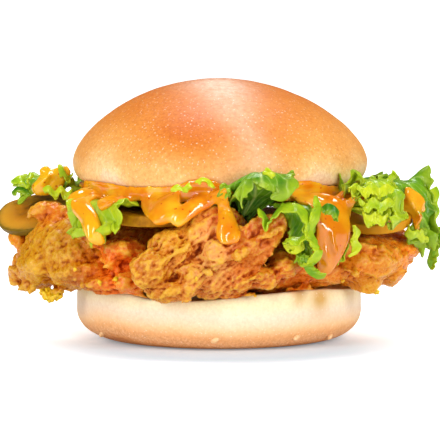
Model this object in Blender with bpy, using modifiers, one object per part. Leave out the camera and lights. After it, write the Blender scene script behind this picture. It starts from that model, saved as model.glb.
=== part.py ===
"""A crispy chicken burger: a bun cut in two, a fried fillet, pickle slices, lettuce leaves and a sauce.

Metres, +Z up. The origin is the centre of the flat foot of the heel, the lower half of the bun.
The front of the burger, where the sauce runs down, faces -Y.
"""

import math
import random
from collections import namedtuple

import bmesh
import bpy
from mathutils import Euler, Matrix, Vector, noise
from mathutils.bvhtree import BVHTree

MM = 0.001

# The bun: a four inch bun, cut into a crown and a heel
BUN_RADIUS = 51.2 * MM
HEEL_RADIUS = 49.6 * MM
HEEL_FOOT_RADIUS = 36.5 * MM
HEEL_HEIGHT = 16.4 * MM
HEEL_FOOT_RISE = 9.5 * MM
CROWN_CUT_RADIUS = 47.6 * MM
CROWN_CUT_HEIGHT = 54.6 * MM
CROWN_EQUATOR_HEIGHT = 61.4 * MM
BURGER_HEIGHT = 89.8 * MM

# The gap that touching pieces keep
GAP = 0.35 * MM

# The levels of the filling, from the fillet up to the sauce
FILLET_TOP = 43.2 * MM
PICKLE_THICKNESS = 3.6 * MM
PICKLE_RADIUS = 16.0 * MM
LEAF_THICKNESS = 0.8 * MM
SAUCE_LOW = 51.9 * MM
SAUCE_HIGH = CROWN_CUT_HEIGHT - GAP

SEED = 11


def clear_scene():
    for obj in list(bpy.data.objects):
        bpy.data.objects.remove(obj)


def new_collection(name):
    collection = bpy.data.collections.new(name)
    bpy.context.scene.collection.children.link(collection)
    return collection


def material(name, colour, roughness):
    made = bpy.data.materials.new(name)
    made.use_nodes = True
    shader = made.node_tree.nodes["Principled BSDF"]
    shader.inputs["Base Color"].default_value = (*colour, 1)
    shader.inputs["Roughness"].default_value = roughness
    shader.inputs["Metallic"].default_value = 0.0
    return made


def link(name, mesh, collection, finish):
    obj = bpy.data.objects.new(name, mesh)
    collection.objects.link(obj)
    mesh.materials.clear()
    mesh.materials.append(finish)
    return obj


def moved_to(collection, obj, finish):
    """Puts a new primitive in this collection alone, and gives it its finish."""
    for owner in list(obj.users_collection):
        owner.objects.unlink(obj)
    collection.objects.link(obj)
    obj.data.materials.append(finish)
    return obj


def hidden(obj):
    """Keeps a cutter out of the render."""
    obj.hide_render = True
    obj.display_type = "WIRE"
    return obj


def realised(obj):
    """The mesh of obj as its modifiers leave it, in world space. The object itself is removed."""
    bpy.context.view_layer.update()
    graph = bpy.context.evaluated_depsgraph_get()
    mesh = bpy.data.meshes.new_from_object(obj.evaluated_get(graph))
    mesh.transform(obj.matrix_world)
    bpy.data.objects.remove(obj)
    return mesh


def triangle_count(mesh):
    return sum(len(face.vertices) - 2 for face in mesh.polygons)


def smooth_step(low, high, value):
    t = min(1.0, max(0.0, (value - low) / (high - low)))
    return t * t * (3 - 2 * t)


def through(points, t):
    """A point at share t of a smooth curve through the given points."""
    spans = len(points) - 1
    at = min(spans - 1e-9, max(0.0, t * spans))
    i = int(at)
    f = at - i
    p1, p2 = points[i], points[i + 1]
    p0 = points[i - 1] if i > 0 else p1 * 2 - p2
    p3 = points[i + 2] if i + 2 <= spans else p2 * 2 - p1
    square = (p0 * 2 - p1 * 5 + p2 * 4 - p3) * f**2
    cube = (p1 * 3 - p0 - p2 * 3 + p3) * f**3
    return 0.5 * (p1 * 2 + (p2 - p0) * f + square + cube)


# The bun

BUN_STEPS = 36
DOME_RINGS = 9
DOME_FALL = 1.6  # over this the top of the dome is flatter, under it more pointed
DOME_FULLNESS = 0.55
UNEVEN_SCALE = 28.0  # per metre
CROWN_UNEVEN = 0.9 * MM
HEEL_UNEVEN = 0.8 * MM
SHARP_EDGE = math.radians(50)

# The seeds stuck to the foot: where round the heel, and where on its rounding, in degrees
SEEDS = ((-92, 34), (-57, 33), (-36, 42), (20, 38), (66, 35), (103, 41), (151, 36), (-150, 40))
SEED_RADII = (1.5 * MM, 1.0 * MM, 0.9 * MM)


def turned(name, profile, steps, collection, finish):
    """A solid turned round the Z axis from its half outline, which runs from the top down its outer side."""
    mesh = bpy.data.meshes.new(name)
    points = [(radius, 0, height) for radius, height in profile]
    mesh.from_pydata(points, [(i, i + 1) for i in range(len(points) - 1)], [])
    obj = link(name, mesh, collection, finish)
    screw = obj.modifiers.new("Turn", "SCREW")
    screw.steps = screw.render_steps = steps
    screw.use_merge_vertices = True
    screw.merge_threshold = 0.0001
    return obj


def crown_profile():
    """The domed upper half: a little pointed at the top, rounded under, with a flat cut face."""
    dome = BURGER_HEIGHT - CROWN_EQUATOR_HEIGHT
    under = 0.93 * (CROWN_EQUATOR_HEIGHT - CROWN_CUT_HEIGHT) / math.sin(math.radians(80))
    rounding = BUN_RADIUS - CROWN_CUT_RADIUS
    points = []
    for i in range(DOME_RINGS):
        share = 1 - (i / DOME_RINGS) ** 1.5
        radius = BUN_RADIUS * (1 - share**DOME_FALL) ** DOME_FULLNESS
        points.append((radius, CROWN_EQUATOR_HEIGHT + dome * share))
    for turn in range(0, 81, 20):
        angle = math.radians(turn)
        radius = CROWN_CUT_RADIUS + rounding * math.cos(angle)
        points.append((radius, CROWN_EQUATOR_HEIGHT - under * math.sin(angle)))
    points.append((CROWN_CUT_RADIUS - 0.9 * MM, CROWN_CUT_HEIGHT))
    points.append((0, CROWN_CUT_HEIGHT))
    return points


def foot_point(angle):
    """The radius and height of a point on the rounding of the heel, from its side at 0 to its flat foot."""
    radius = HEEL_FOOT_RADIUS + (HEEL_RADIUS - HEEL_FOOT_RADIUS) * math.cos(angle)
    return radius, HEEL_FOOT_RISE * (1 - math.sin(angle))


def heel_profile():
    """The lower half: a flat cut face, nearly upright sides and a well rounded foot."""
    edge = [
        (0, HEEL_HEIGHT),
        (HEEL_RADIUS - 1.4 * MM, HEEL_HEIGHT),
        (HEEL_RADIUS - 0.4 * MM, HEEL_HEIGHT - 0.8 * MM),
    ]
    rounding = [foot_point(math.radians(turn)) for turn in range(0, 91, 18)]
    return [*edge, *rounding, (0, 0)]


def add_crown(collection, finish):
    mesh = realised(turned("crown_turning", crown_profile(), BUN_STEPS, collection, finish))
    for v in mesh.vertices:
        if v.co.z > CROWN_CUT_HEIGHT + 1 * MM:
            v.co += v.co.normalized() * CROWN_UNEVEN * noise.noise(v.co * UNEVEN_SCALE)
    mesh.shade_smooth()
    mesh.set_sharp_from_angle(angle=SHARP_EDGE)
    return link("bun_crown", mesh, collection, finish)


def add_seeds(collection, finish):
    """Sesame seeds that baked on, each sunk by about half in the crust."""
    for azimuth, lift in SEEDS:
        about, up = math.radians(azimuth), math.radians(lift)
        reach, height = foot_point(up)
        bpy.ops.mesh.primitive_uv_sphere_add(
            segments=7,
            ring_count=5,
            radius=1,
            location=(reach * math.cos(about), reach * math.sin(about), height),
            rotation=(0, -up, about + math.pi / 2),
            scale=SEED_RADII,
        )
        moved_to(collection, bpy.context.object, finish)


def add_heel(collection, finish):
    mesh = realised(turned("heel_turning", heel_profile(), BUN_STEPS, collection, finish))
    for v in mesh.vertices:
        if 1 * MM < v.co.z < HEEL_HEIGHT - 0.5 * MM:
            outward = Vector((v.co.x, v.co.y, 0)).normalized()
            v.co += outward * HEEL_UNEVEN * noise.noise(v.co * UNEVEN_SCALE)
    heel = link("bun_heel", mesh, collection, finish)
    seeds = new_collection("seeds")
    add_seeds(seeds, finish)
    fuse = heel.modifiers.new("Seeds", "BOOLEAN")
    fuse.operation = "UNION"
    fuse.operand_type = "COLLECTION"
    fuse.solver = "MANIFOLD"
    fuse.collection = seeds
    mesh = realised(heel)
    for seed in list(seeds.objects):
        bpy.data.objects.remove(seed)
    bpy.data.collections.remove(seeds)
    mesh.shade_smooth()
    mesh.set_sharp_from_angle(angle=SHARP_EDGE)
    return link("bun_heel", mesh, collection, finish)


# The fried fillet

# Each lump of the fillet: centre, half sizes and turns about X, Y and Z, in millimetres and degrees
FILLET_LUMPS = (
    ((0, 3, 31), (53, 42, 15.0), (0, 0, 0)),  # the middle of the meat
    ((-52, -17, 31), (15, 21, 14.0), (0, 10, 8)),  # the big lobe at the left
    ((-61, -15, 27), (9, 18, 8.5), (0, 20, 0)),
    ((-47, -27, 25), (13, 13, 7.0), (0, 0, -20)),
    ((-66, -14, 20.5), (8.5, 8, 3.0), (0, 28, 20)),  # a flake of crust that hangs at the left
    ((-59, -13, 44.5), (5.5, 5, 3.2), (0, 0, 0)),  # the craggy crest of the lobe
    ((-30, -34, 24.5), (10, 10, 6.5), (0, 0, 0)),  # the hollow between the lobe and the fold
    ((-35, -34, 32), (6, 8, 5.0), (0, 0, 0)),
    ((-4, -45, 42), (14, 10, 9.0), (0, -22, 0)),  # the fold at the front
    ((-15, -47, 34), (9, 10, 9.0), (0, 0, 0)),
    ((-22.5, -53, 28.5), (7, 7, 7.5), (0, 25, 10)),  # its curled nose, low at the left
    ((-15, -52, 21.5), (9.5, 7, 4.0), (0, -12, 0)),
    ((-3, -47, 32), (8, 8, 8.0), (0, 0, 0)),
    ((8.5, -55, 34.5), (19, 2.6, 7.5), (8, -46, -6)),  # the crisp fin that stands out at the right
    ((4, -46, 22.5), (13, 9, 5.0), (0, -10, 0)),
    ((26, -33, 23.5), (20, 11, 6.5), (0, 0, 8)),  # the meat below the fin
    ((37, -20, 28.5), (15, 18, 10.0), (0, 0, 0)),
    ((45, -15, 28.5), (20, 24, 11.0), (0, 0, 0)),  # the smooth end at the right
    ((58, -8, 32), (12, 14, 6.0), (0, 8, 0)),
    ((-32, 30, 29), (28, 20, 13.0), (0, 0, 20)),  # the far side
    ((4, 38, 30), (26, 16, 13.0), (0, 8, 0)),
    ((36, 26, 29), (24, 20, 12.5), (0, 0, -25)),
)
FILLET_TRIANGLES = 4000
FILLET_VOXEL = 1.6 * MM
FILLET_HANG = 1.6 * MM  # how far the rim droops below the top of the heel
FILLET_RISE = 7.5 * MM  # how far the rim stands above the flat top

# The knobs of batter round the rim
CRAG_COUNT = 46
CRAG_LEFT, CRAG_RIGHT, CRAG_DEEP = 66.0, 62.0, 49.0
CRAG_LOW, CRAG_HIGH = 21.5, 35.5
CRAG_SMALL, CRAG_LARGE = 3.2, 6.2
GOLDEN_ANGLE = math.radians(137.5)


def add_crags(add_lump):
    """Small knobs of batter all round the rim, at steps of the golden angle, with seeded sizes."""
    chance = random.Random(SEED)
    for i in range(CRAG_COUNT):
        angle = i * GOLDEN_ANGLE
        reach = 1 + 0.07 * math.sin(angle * 3)
        x = (CRAG_RIGHT if math.cos(angle) > 0 else CRAG_LEFT) * math.cos(angle) * reach
        y = CRAG_DEEP * math.sin(angle) * reach
        z = chance.uniform(CRAG_LOW, CRAG_HIGH)
        size = chance.uniform(CRAG_SMALL, CRAG_LARGE)
        add_lump((x, y, z), (size * 1.25, size, size), (0, chance.uniform(0, 30), math.degrees(angle)))


def roughen(obj, name, grain, depth):
    """Adds rounded crust relief of this grain size and depth."""
    texture = bpy.data.textures.new(name, "CLOUDS")
    texture.noise_scale = grain
    displace = obj.modifiers.new(name, "DISPLACE")
    displace.texture = texture
    displace.texture_coords = "GLOBAL"
    displace.strength = depth
    displace.mid_level = 0.5


def fillet_limits(x, y):
    """The lowest and the highest that the fillet may reach at this place."""
    distance = math.hypot(x, y)
    hang = smooth_step(HEEL_RADIUS + 2.2 * MM, HEEL_RADIUS + 12 * MM, distance)
    rise = smooth_step(44 * MM, 53 * MM, distance)
    return HEEL_HEIGHT + GAP - FILLET_HANG * hang, FILLET_TOP + FILLET_RISE * rise


def pressed(mesh):
    """Presses the fillet flat between the heel below and the pickles above."""
    for v in mesh.vertices:
        low, high = fillet_limits(v.co.x, v.co.y)
        v.co.z = min(high, max(low, v.co.z))
    return mesh


def add_fillet(collection, finish, cutters):
    """The lumps are melted into one skin, roughened, pressed, thinned, and dented by the pickles."""
    mesh = bpy.data.meshes.new("fillet_lumps")
    builder = bmesh.new()

    def add_lump(centre, radii, turns):
        place = Matrix.Translation(Vector(centre) * MM)
        turn = Euler([math.radians(a) for a in turns]).to_matrix().to_4x4()
        size = Matrix.Diagonal((*(r * MM for r in radii), 1))
        bmesh.ops.create_icosphere(builder, subdivisions=3, radius=1, matrix=place @ turn @ size)

    for lump in FILLET_LUMPS:
        add_lump(*lump)
    add_crags(add_lump)
    builder.to_mesh(mesh)
    builder.free()
    rough = link("fillet_lumps", mesh, collection, finish)
    remesh = rough.modifiers.new("Melt", "REMESH")
    remesh.mode = "VOXEL"
    remesh.voxel_size = FILLET_VOXEL
    roughen(rough, "Folds", 10 * MM, 3.8 * MM)
    roughen(rough, "Knobs", 5.5 * MM, 1.9 * MM)
    whole = link("fillet_pressed", pressed(realised(rough)), collection, finish)
    thin = whole.modifiers.new("Thin", "DECIMATE")
    thin.ratio = FILLET_TRIANGLES / triangle_count(whole.data)
    fillet = link("fillet_thinned", pressed(realised(whole)), collection, finish)
    for cutter in cutters:
        cut = fillet.modifiers.new("Dent", "BOOLEAN")
        cut.operation = "DIFFERENCE"
        cut.object = cutter
    return link("chicken_fillet", realised(fillet), collection, finish)


# The pickle slices

# Each slice: name, centre in millimetres, lean about X and about Y in degrees
PICKLES = (
    ("pickle_left", (-62.5, 1, 43.0), (28, -24)),
    ("pickle_front", (-22, -33, 45.3), (4, 0)),
    ("pickle_right", (46, -14, 45.4), (2, 3)),
    ("pickle_back_left", (-20, 30, 45.3), (-3, 0)),
    ("pickle_back_right", (22, 32, 45.3), (-4, 2)),
)
PICKLE_SIDES = 18
PICKLE_EDGE = 0.8 * MM
PICKLE_UNEVEN = 0.05
DENT_GAP = 0.45 * MM


def pickle_disc(name, centre, lean, grow, collection, finish):
    """A round slice of gherkin, a little uneven, with eased edges. A cutter is grown by grow all round."""
    bpy.ops.mesh.primitive_cylinder_add(
        vertices=PICKLE_SIDES,
        radius=PICKLE_RADIUS + grow,
        depth=PICKLE_THICKNESS + 2 * grow,
        location=[c * MM for c in centre],
        rotation=(math.radians(lean[0]), math.radians(lean[1]), 0),
    )
    obj = moved_to(collection, bpy.context.object, finish)
    obj.name = name
    for v in obj.data.vertices:
        v.co.xy *= 1 + PICKLE_UNEVEN * noise.noise(v.co.normalized() * 1.3 + Vector(centre))
    bevel = obj.modifiers.new("Ease", "BEVEL")
    bevel.width = PICKLE_EDGE
    bevel.segments = 1
    return obj


def add_pickles(collection, finish, cutting):
    """The slices, and the cutters that dent the fillet under them."""
    slices, dents = [], []
    for name, centre, lean in PICKLES:
        slices.append(pickle_disc(name, centre, lean, 0.0, collection, finish))
        dents.append(hidden(pickle_disc(name + "_dent", centre, lean, DENT_GAP, cutting, finish)))
    return slices, dents


# The lettuce

# The three levels at which the leaves lie between the pickles and the sauce, in millimetres
LOW, MID, HIGH = 48.3, 49.6, 50.9

# A leaf: its heading in degrees, its spine as (out, sideways, up) and its half width in millimetres,
# the waves round its rim and their depth, the twist of its tip, and how far its two sides droop
Leaf = namedtuple("Leaf", "name heading spine half_width waves depth twist droop")
LEAVES = (
    Leaf(
        "leaf_left",
        224,
        ((28, 0, LOW), (42, 0, LOW), (50, 0, 50), (57.5, 1, 49.5), (61, 3, 44.5), (62.5, 4, 38.5)),
        *(13.5, 5, 3.0, 0, (0, 0)),
    ),
    Leaf(
        "leaf_far_left",
        178,
        ((28, 0, HIGH), (42, 0, HIGH), (50, -2, 52.5), (57, -3, 54.5), (65, -4, 56), (71.5, -5, 54)),
        *(12.5, 6, 3.6, 0, (0, 0)),
    ),
    Leaf(
        "leaf_front",
        -76,
        ((30, 1, HIGH), (43, 1, HIGH), (51, 0, 53), (56, 0, 57.5), (58.5, 0, 61), (61.5, -1, 60.5)),
        *(13.0, 4, 2.0, 0, (11, 3)),
    ),
    Leaf(
        "leaf_curl",
        -64,
        (
            *((30, -2, MID), (44, -2, MID), (52, -2, 50.2), (58.5, 0, 48.5)),
            *((61.5, 1, 44), (61, 0, 38), (61.5, 1, 31)),
        ),
        *(6.0, 5, 1.8, 15, (0, 0)),
    ),
    Leaf(
        "leaf_under_sauce",
        -48,
        ((30, 0, LOW), (43, 0, LOW), (50, 0, 48), (54.5, 0, 44.5), (56.5, 0, 38), (57.5, 0, 31)),
        *(8.0, 4, 1.6, 0, (0, 0)),
    ),
    Leaf(
        "leaf_right",
        -60,
        (
            *((14, 25, HIGH), (29, 27, HIGH), (42, 29, 53.5), (49, 30, 57.5)),
            *((54, 30, 56), (56.5, 30, 50.5), (57, 30, 44)),
        ),
        *(9.5, 6, 2.6, 0, (2, 2)),
    ),
    Leaf(
        "leaf_far_right",
        -50,
        (
            *((8, 28, MID), (24, 32, MID), (38, 38, 52.5), (48, 41, 55.5)),
            *((53, 44, 53), (56, 46, 46), (57, 47.5, 37), (57, 48, 27)),
        ),
        *(8.5, 5, 2.6, -20, (0, 0)),
    ),
    Leaf(
        "leaf_right_back",
        16,
        ((30, 2, HIGH), (43, 2, HIGH), (52, 3, 52), (58, 4, 54.5), (63, 5, 56), (67, 6, 53.5)),
        *(11.0, 5, 2.8, 0, (2, 2)),
    ),
    Leaf(
        "leaf_back_right",
        58,
        ((30, 0, MID), (43, 0, MID), (52, 0, 52), (59, 0, 50), (62, 1, 43), (63, 1, 35)),
        *(13.0, 5, 3.0, 10, (0, 0)),
    ),
    Leaf(
        "leaf_back",
        98,
        ((30, 0, HIGH), (43, 0, HIGH), (52, 0, 54), (58, 1, 58), (64, 1, 56), (67, 2, 49)),
        *(13.0, 6, 3.0, -10, (2, 0)),
    ),
    Leaf(
        "leaf_back_left",
        138,
        ((30, 0, MID), (43, 0, MID), (52, 0, 51.5), (60, 0, 48), (63, 1, 41), (64, 2, 34)),
        *(13.0, 5, 3.0, 8, (0, 0)),
    ),
)
LEAF_ROWS = 9
LEAF_COLUMNS = 8
LEAF_FRILL = 2.2 * MM
LEAF_CLEARANCE = LEAF_THICKNESS / 2 + GAP + 0.3 * MM
LEAF_STEP = 0.35 * MM
LEAF_TRIES = 14


def leaf_sheet(leaf):
    """The middle surface of a leaf: a spine bent out from under the bun, with a rim that ruffles round it."""
    turn = math.radians(leaf.heading)
    outward = Vector((math.cos(turn), math.sin(turn), 0))
    sideways = Vector((-math.sin(turn), math.cos(turn), 0))
    points = [outward * o * MM + sideways * s * MM + Vector((0, 0, u * MM)) for o, s, u in leaf.spine]
    phase = leaf.heading * 0.7
    verts = []
    for row in range(LEAF_ROWS + 1):
        share = row / LEAF_ROWS
        centre = through(points, share)
        tangent = (through(points, min(1, share + 0.02)) - through(points, max(0, share - 0.02))).normalized()
        lean = math.radians(leaf.twist) * smooth_step(0.35, 1.0, share)
        across = (Matrix.Rotation(lean, 3, tangent) @ sideways).normalized()
        across = (across - tangent * across.dot(tangent)).normalized()
        facing = across.cross(tangent).normalized()
        spread = 0.5 + 0.5 * smooth_step(0.1, 0.55, share)
        round_off = math.sqrt(1 - 0.7 * smooth_step(0.6, 1.0, share) ** 2)
        for column in range(LEAF_COLUMNS + 1):
            side = 2 * column / LEAF_COLUMNS - 1
            rim = max(abs(side) ** 2.2 * smooth_step(0.25, 0.6, share), smooth_step(0.5, 1.0, share))
            angle = math.atan2(side * 1.1, share - 0.35)
            waving = leaf.waves * angle
            ruffle = math.sin(waving + phase) + 0.45 * math.sin(2.3 * waving + 2 * phase)
            lobe = 1 + 0.2 * rim * math.cos(1.7 * waving + phase)
            frill = rim * (1 - side * side) * (1 + 0.7 * math.sin(3 * waving))
            droop = leaf.droop[0] if side < 0 else leaf.droop[1]
            point = centre + across * side * leaf.half_width * MM * spread * round_off * lobe
            point.z -= droop * MM * side**2 * smooth_step(0.3, 0.8, share)
            verts.append(point + facing * ruffle * leaf.depth * MM * rim + tangent * LEAF_FRILL * frill)
    width = LEAF_COLUMNS + 1
    faces = [
        (r * width + c, r * width + c + 1, (r + 1) * width + c + 1, (r + 1) * width + c)
        for r in range(LEAF_ROWS)
        for c in range(LEAF_COLUMNS)
    ]
    return verts, faces


def leaf_solid(name, verts, faces, collection, finish):
    mesh = bpy.data.meshes.new(name)
    mesh.from_pydata(verts, [], faces)
    builder = bmesh.new()
    builder.from_mesh(mesh)
    bmesh.ops.triangulate(builder, faces=builder.faces)
    bmesh.ops.recalc_face_normals(builder, faces=builder.faces)
    builder.to_mesh(mesh)
    builder.free()
    mesh.shade_smooth()
    leaf = link(name, mesh, collection, finish)
    solid = leaf.modifiers.new("Thickness", "SOLIDIFY")
    solid.thickness = LEAF_THICKNESS
    solid.offset = 0
    return leaf


def surface_of(objects):
    """The surfaces of these objects in world space, as the triangles of one bmesh."""
    bpy.context.view_layer.update()
    graph = bpy.context.evaluated_depsgraph_get()
    builder = bmesh.new()
    for obj in objects:
        mesh = obj.evaluated_get(graph).to_mesh()
        mesh.transform(obj.matrix_world)
        builder.from_mesh(mesh)
    bmesh.ops.triangulate(builder, faces=builder.faces)
    builder.faces.ensure_lookup_table()
    return builder


def tree_of(objects):
    """One search tree over the surfaces of these objects."""
    builder = surface_of(objects)
    tree = BVHTree.FromBMesh(builder)
    builder.free()
    return tree


def pushed_clear(point, tree, clearance):
    """The point, moved out of the pieces of the tree where it is in one or nearer than the clearance."""
    for _ in range(4):
        near, normal, _, distance = tree.find_nearest(point)
        inside = (point - near).dot(normal) < 0 and distance < 14 * MM
        if not inside and distance >= clearance:
            break
        away = normal if inside or distance < 1e-6 else (point - near).normalized()
        point = near + away * (clearance + 0.02 * MM)
    return point


def touching_points(leaf, tree):
    """The points of the leaf's middle surface where its solid meets a piece of the tree."""
    builder = surface_of([leaf])
    hit = {own for own, _ in BVHTree.FromBMesh(builder).overlap(tree)}
    # The solid has a point on each of its faces for every point of the middle surface, in the same order.
    points = {v.index % len(leaf.data.vertices) for own in hit for v in builder.faces[own].verts}
    builder.free()
    return points


def add_leaf(leaf, around, collection, finish):
    """Lays a leaf over what is there. Its points keep clear, and go further where a face still meets it."""
    verts, faces = leaf_sheet(leaf)
    tree = tree_of(around)
    clearances = [LEAF_CLEARANCE] * len(verts)
    laid = None
    for _ in range(LEAF_TRIES):
        if laid:
            bpy.data.objects.remove(laid)
        placed = [pushed_clear(v, tree, clear) for v, clear in zip(verts, clearances)]
        laid = leaf_solid(leaf.name, placed, faces, collection, finish)
        touching = touching_points(laid, tree)
        if not touching:
            break
        for i in touching:
            clearances[i] += LEAF_STEP
    return laid


# The sauce

SAUCE_RADIUS = 49.4 * MM
SAUCE_UNEVEN = 0.03
SPREAD_STEPS = 40
POOL_RADIUS = 24 * MM  # inside this the sauce fills the space down to the pickles
POOL_LOW = 48.7 * MM

# Each run of sauce: its stations as (x, y, z, half width, half thickness) in millimetres
SAUCE_RUNS = (
    (  # down the left leaf
        *((-34, -24, 53, 6, 1.2), (-44, -28, 51.5, 5.5, 1.8), (-46, -34, 48.8, 3.4, 1.8)),
        *((-43.5, -43, 44.5, 3.4, 2.2), (-42, -48, 39.5, 3.2, 2.4), (-42, -49, 36.5, 1.6, 1.4)),
    ),
    ((-28, -34, 53, 6, 1.2), (-36, -38, 52, 4.5, 1.7), (-35, -45, 47.5, 3.4, 1.6)),
    (  # over the front pickle
        *((-18, -42, 53, 8, 1.2), (-20.5, -47, 52.5, 7.5, 1.8)),
        *((-19.7, -52, 50, 6.4, 2.2), (-18.6, -56, 45.5, 3.8, 2.0)),
    ),
    (  # slanting down over the fold of the fillet
        *((2, -42, 53, 4, 1.2), (0.9, -49, 53.6, 3.2, 1.6), (-6.8, -53, 51.6, 3.0, 2.0)),
        *((-13, -56, 47.7, 3.0, 2.0), (-16, -57, 44.6, 2.2, 1.6)),
    ),
    (  # the drop in front of the fold
        *((0, -42, 53, 3, 1.2), (0.2, -50.5, 53.2, 2.2, 1.5), (0.9, -53, 51, 2.0, 1.7)),
        *((2.3, -55.5, 46, 3.2, 2.6), (2.8, -57, 40.5, 4.1, 3.2), (3.1, -57, 37.6, 2.2, 1.8)),
    ),
    (  # the broad sheet at the right
        *((28, -34, 53, 8, 1.2), (32, -41, 53, 8.6, 1.8), (36, -46.5, 50, 8, 2.2), (38, -49, 43, 7.2, 2.2)),
        *((37, -50, 36, 6, 2.3), (36, -50.5, 30, 3.8, 2.3), (35.5, -50.5, 26, 1.8, 1.6)),
    ),
    (
        *((36, -28, 53, 6, 1.2), (41, -35, 52.5, 6, 1.7), (43.5, -41, 48.5, 5, 2.0)),
        *((44, -44, 42, 4, 2.0), (43.5, -45, 37, 2.2, 1.5)),
    ),
    (  # the two drips at the back
        *((-14, 42, 53, 7, 1.2), (-16, 50, 52, 7, 1.9), (-18, 56, 48, 5, 2.2)),
        *((-18, 58, 42, 3.6, 2.2), (-18, 58, 38, 1.8, 1.5)),
    ),
    (
        *((30, 34, 53, 6, 1.2), (35, 39, 52.5, 6, 1.9), (40, 45, 49.5, 4.4, 2.0)),
        *((41, 47, 44, 3.4, 2.0), (41, 47, 40.5, 1.6, 1.4)),
    ),
)

# The two spots of sauce that lie on a leaf, apart from the rest
SAUCE_SPOTS = (
    (
        "sauce_far_right",
        (
            *((61, -12, 53.5, 2.4, 1.2), (65, -14, 50.5, 4.6, 1.8)),
            *((66.5, -17, 46, 3.0, 1.8), (67, -18, 41, 1.5, 1.3)),
        ),
    ),
    (
        "sauce_far_left",
        (
            *((-50, -1, 55.5, 2.4, 1.4), (-56, -2, 56.5, 5.4, 2.0)),
            *((-62, -3, 57.5, 5.0, 2.0), (-66, -3, 56.5, 2.2, 1.4)),
        ),
    ),
)
RUN_SIDES = 12
RUN_RINGS = 17
SAUCE_VOXEL = 0.7 * MM
SAUCE_TRIANGLES = 2300
SPOT_TRIANGLES = 180
CUT_GAP = 0.5 * MM
TRIM_GAP = GAP / 2

# The lip of sauce at the front edge of the bun: where it starts and ends in degrees, the rest in millimetres
LIP_START = 208
LIP_END = 322
LIP_STATIONS = 12
LIP_RADIUS = 50.2
LIP_LEVEL = 51.6
LIP_SIZE = 1.9
LIP_SWELL = 0.4


def sauce_lip():
    """The stations of the swollen lip of sauce that squeezes out along the front of the bun."""
    stations = []
    for i in range(LIP_STATIONS):
        share = i / (LIP_STATIONS - 1)
        angle = math.radians(LIP_START + (LIP_END - LIP_START) * share)
        taper = math.sin(math.pi * min(0.97, max(0.03, share))) ** 0.4
        size = (LIP_SIZE + LIP_SWELL * math.sin(i * 2.4)) * taper
        stations.append((LIP_RADIUS * math.cos(angle), LIP_RADIUS * math.sin(angle), LIP_LEVEL, size, size))
    return stations


def add_run(builder, stations):
    """A rounded rope of sauce through its stations, flattened against what it runs over."""
    places = [Vector(s[:3]) * MM for s in stations]
    sizes = [Vector((s[3], s[4], 0)) * MM for s in stations]
    rings = []
    for i in range(RUN_RINGS):
        share = i / (RUN_RINGS - 1)
        centre = through(places, share)
        size = through(sizes, share)
        tangent = (through(places, min(1, share + 0.03)) - through(places, max(0, share - 0.03))).normalized()
        outward = Vector((centre.x, centre.y, 20 * MM)).normalized()
        across = outward.cross(tangent).normalized()
        facing = across.cross(tangent).normalized()
        ring = []
        for k in range(RUN_SIDES):
            angle = 2 * math.pi * k / RUN_SIDES
            place = centre + across * size.x * math.cos(angle) + facing * size.y * math.sin(angle)
            ring.append(builder.verts.new(place))
        rings.append(ring)
    for a, b in zip(rings, rings[1:]):
        for k in range(RUN_SIDES):
            n = (k + 1) % RUN_SIDES
            builder.faces.new((a[k], a[n], b[n], b[k]))
    for ring in (rings[0], rings[-1]):
        builder.faces.new(ring)


def ropes(name, runs, collection, finish):
    """One object that holds a rope of sauce for each run."""
    builder = bmesh.new()
    for stations in runs:
        add_run(builder, stations)
    bmesh.ops.recalc_face_normals(builder, faces=builder.faces)
    mesh = bpy.data.meshes.new(name)
    builder.to_mesh(mesh)
    builder.free()
    return link(name, mesh, collection, finish)


def spread_profile():
    """The layer of sauce under the crown, with a rounded rim and a deeper middle."""
    return [
        (0, SAUCE_HIGH),
        (SAUCE_RADIUS - 1.2 * MM, SAUCE_HIGH),
        (SAUCE_RADIUS, (SAUCE_LOW + SAUCE_HIGH) / 2),
        (SAUCE_RADIUS - 1.2 * MM, SAUCE_LOW),
        (POOL_RADIUS + 2 * MM, SAUCE_LOW),
        (POOL_RADIUS, POOL_LOW),
        (0, POOL_LOW),
    ]


def melted(obj):
    """Gives obj one settled skin round all of its parts."""
    remesh = obj.modifiers.new("Melt", "REMESH")
    remesh.mode = "VOXEL"
    remesh.voxel_size = SAUCE_VOXEL
    settle = obj.modifiers.new("Settle", "SMOOTH")
    settle.iterations = 2
    return obj


def thinned(obj, triangles, collection, finish):
    """The object with its modifiers applied and about this many triangles."""
    name = obj.name
    whole = link(name, realised(obj), collection, finish)
    thin = whole.modifiers.new("Thin", "DECIMATE")
    thin.ratio = min(1.0, triangles / triangle_count(whole.data))
    return link(name, realised(whole), collection, finish)


def swollen(obj, cutting, finish):
    """A copy of a finished piece that its Swell modifier grows all round, to cut a gap of that size."""
    bpy.context.view_layer.update()
    graph = bpy.context.evaluated_depsgraph_get()
    mesh = bpy.data.meshes.new_from_object(obj.evaluated_get(graph))
    mesh.transform(obj.matrix_world)
    cutter = hidden(link(obj.name + "_gap", mesh, cutting, finish))
    swell = cutter.modifiers.new("Swell", "DISPLACE")
    swell.strength = CUT_GAP
    swell.mid_level = 0.0
    return cutter


def largest_body(mesh):
    """Drops the loose scraps that a cut leaves, and keeps the largest body."""
    builder = bmesh.new()
    builder.from_mesh(mesh)
    left = set(builder.verts)
    bodies = []
    while left:
        seen, todo = set(), [next(iter(left))]
        while todo:
            v = todo.pop()
            if v in seen:
                continue
            seen.add(v)
            todo.extend(e.other_vert(v) for e in v.link_edges)
        left -= seen
        bodies.append(seen)
    bodies.sort(key=len)
    for body in bodies[:-1]:
        bmesh.ops.delete(builder, geom=list(body), context="VERTS")
    builder.to_mesh(mesh)
    builder.free()
    return mesh


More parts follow.
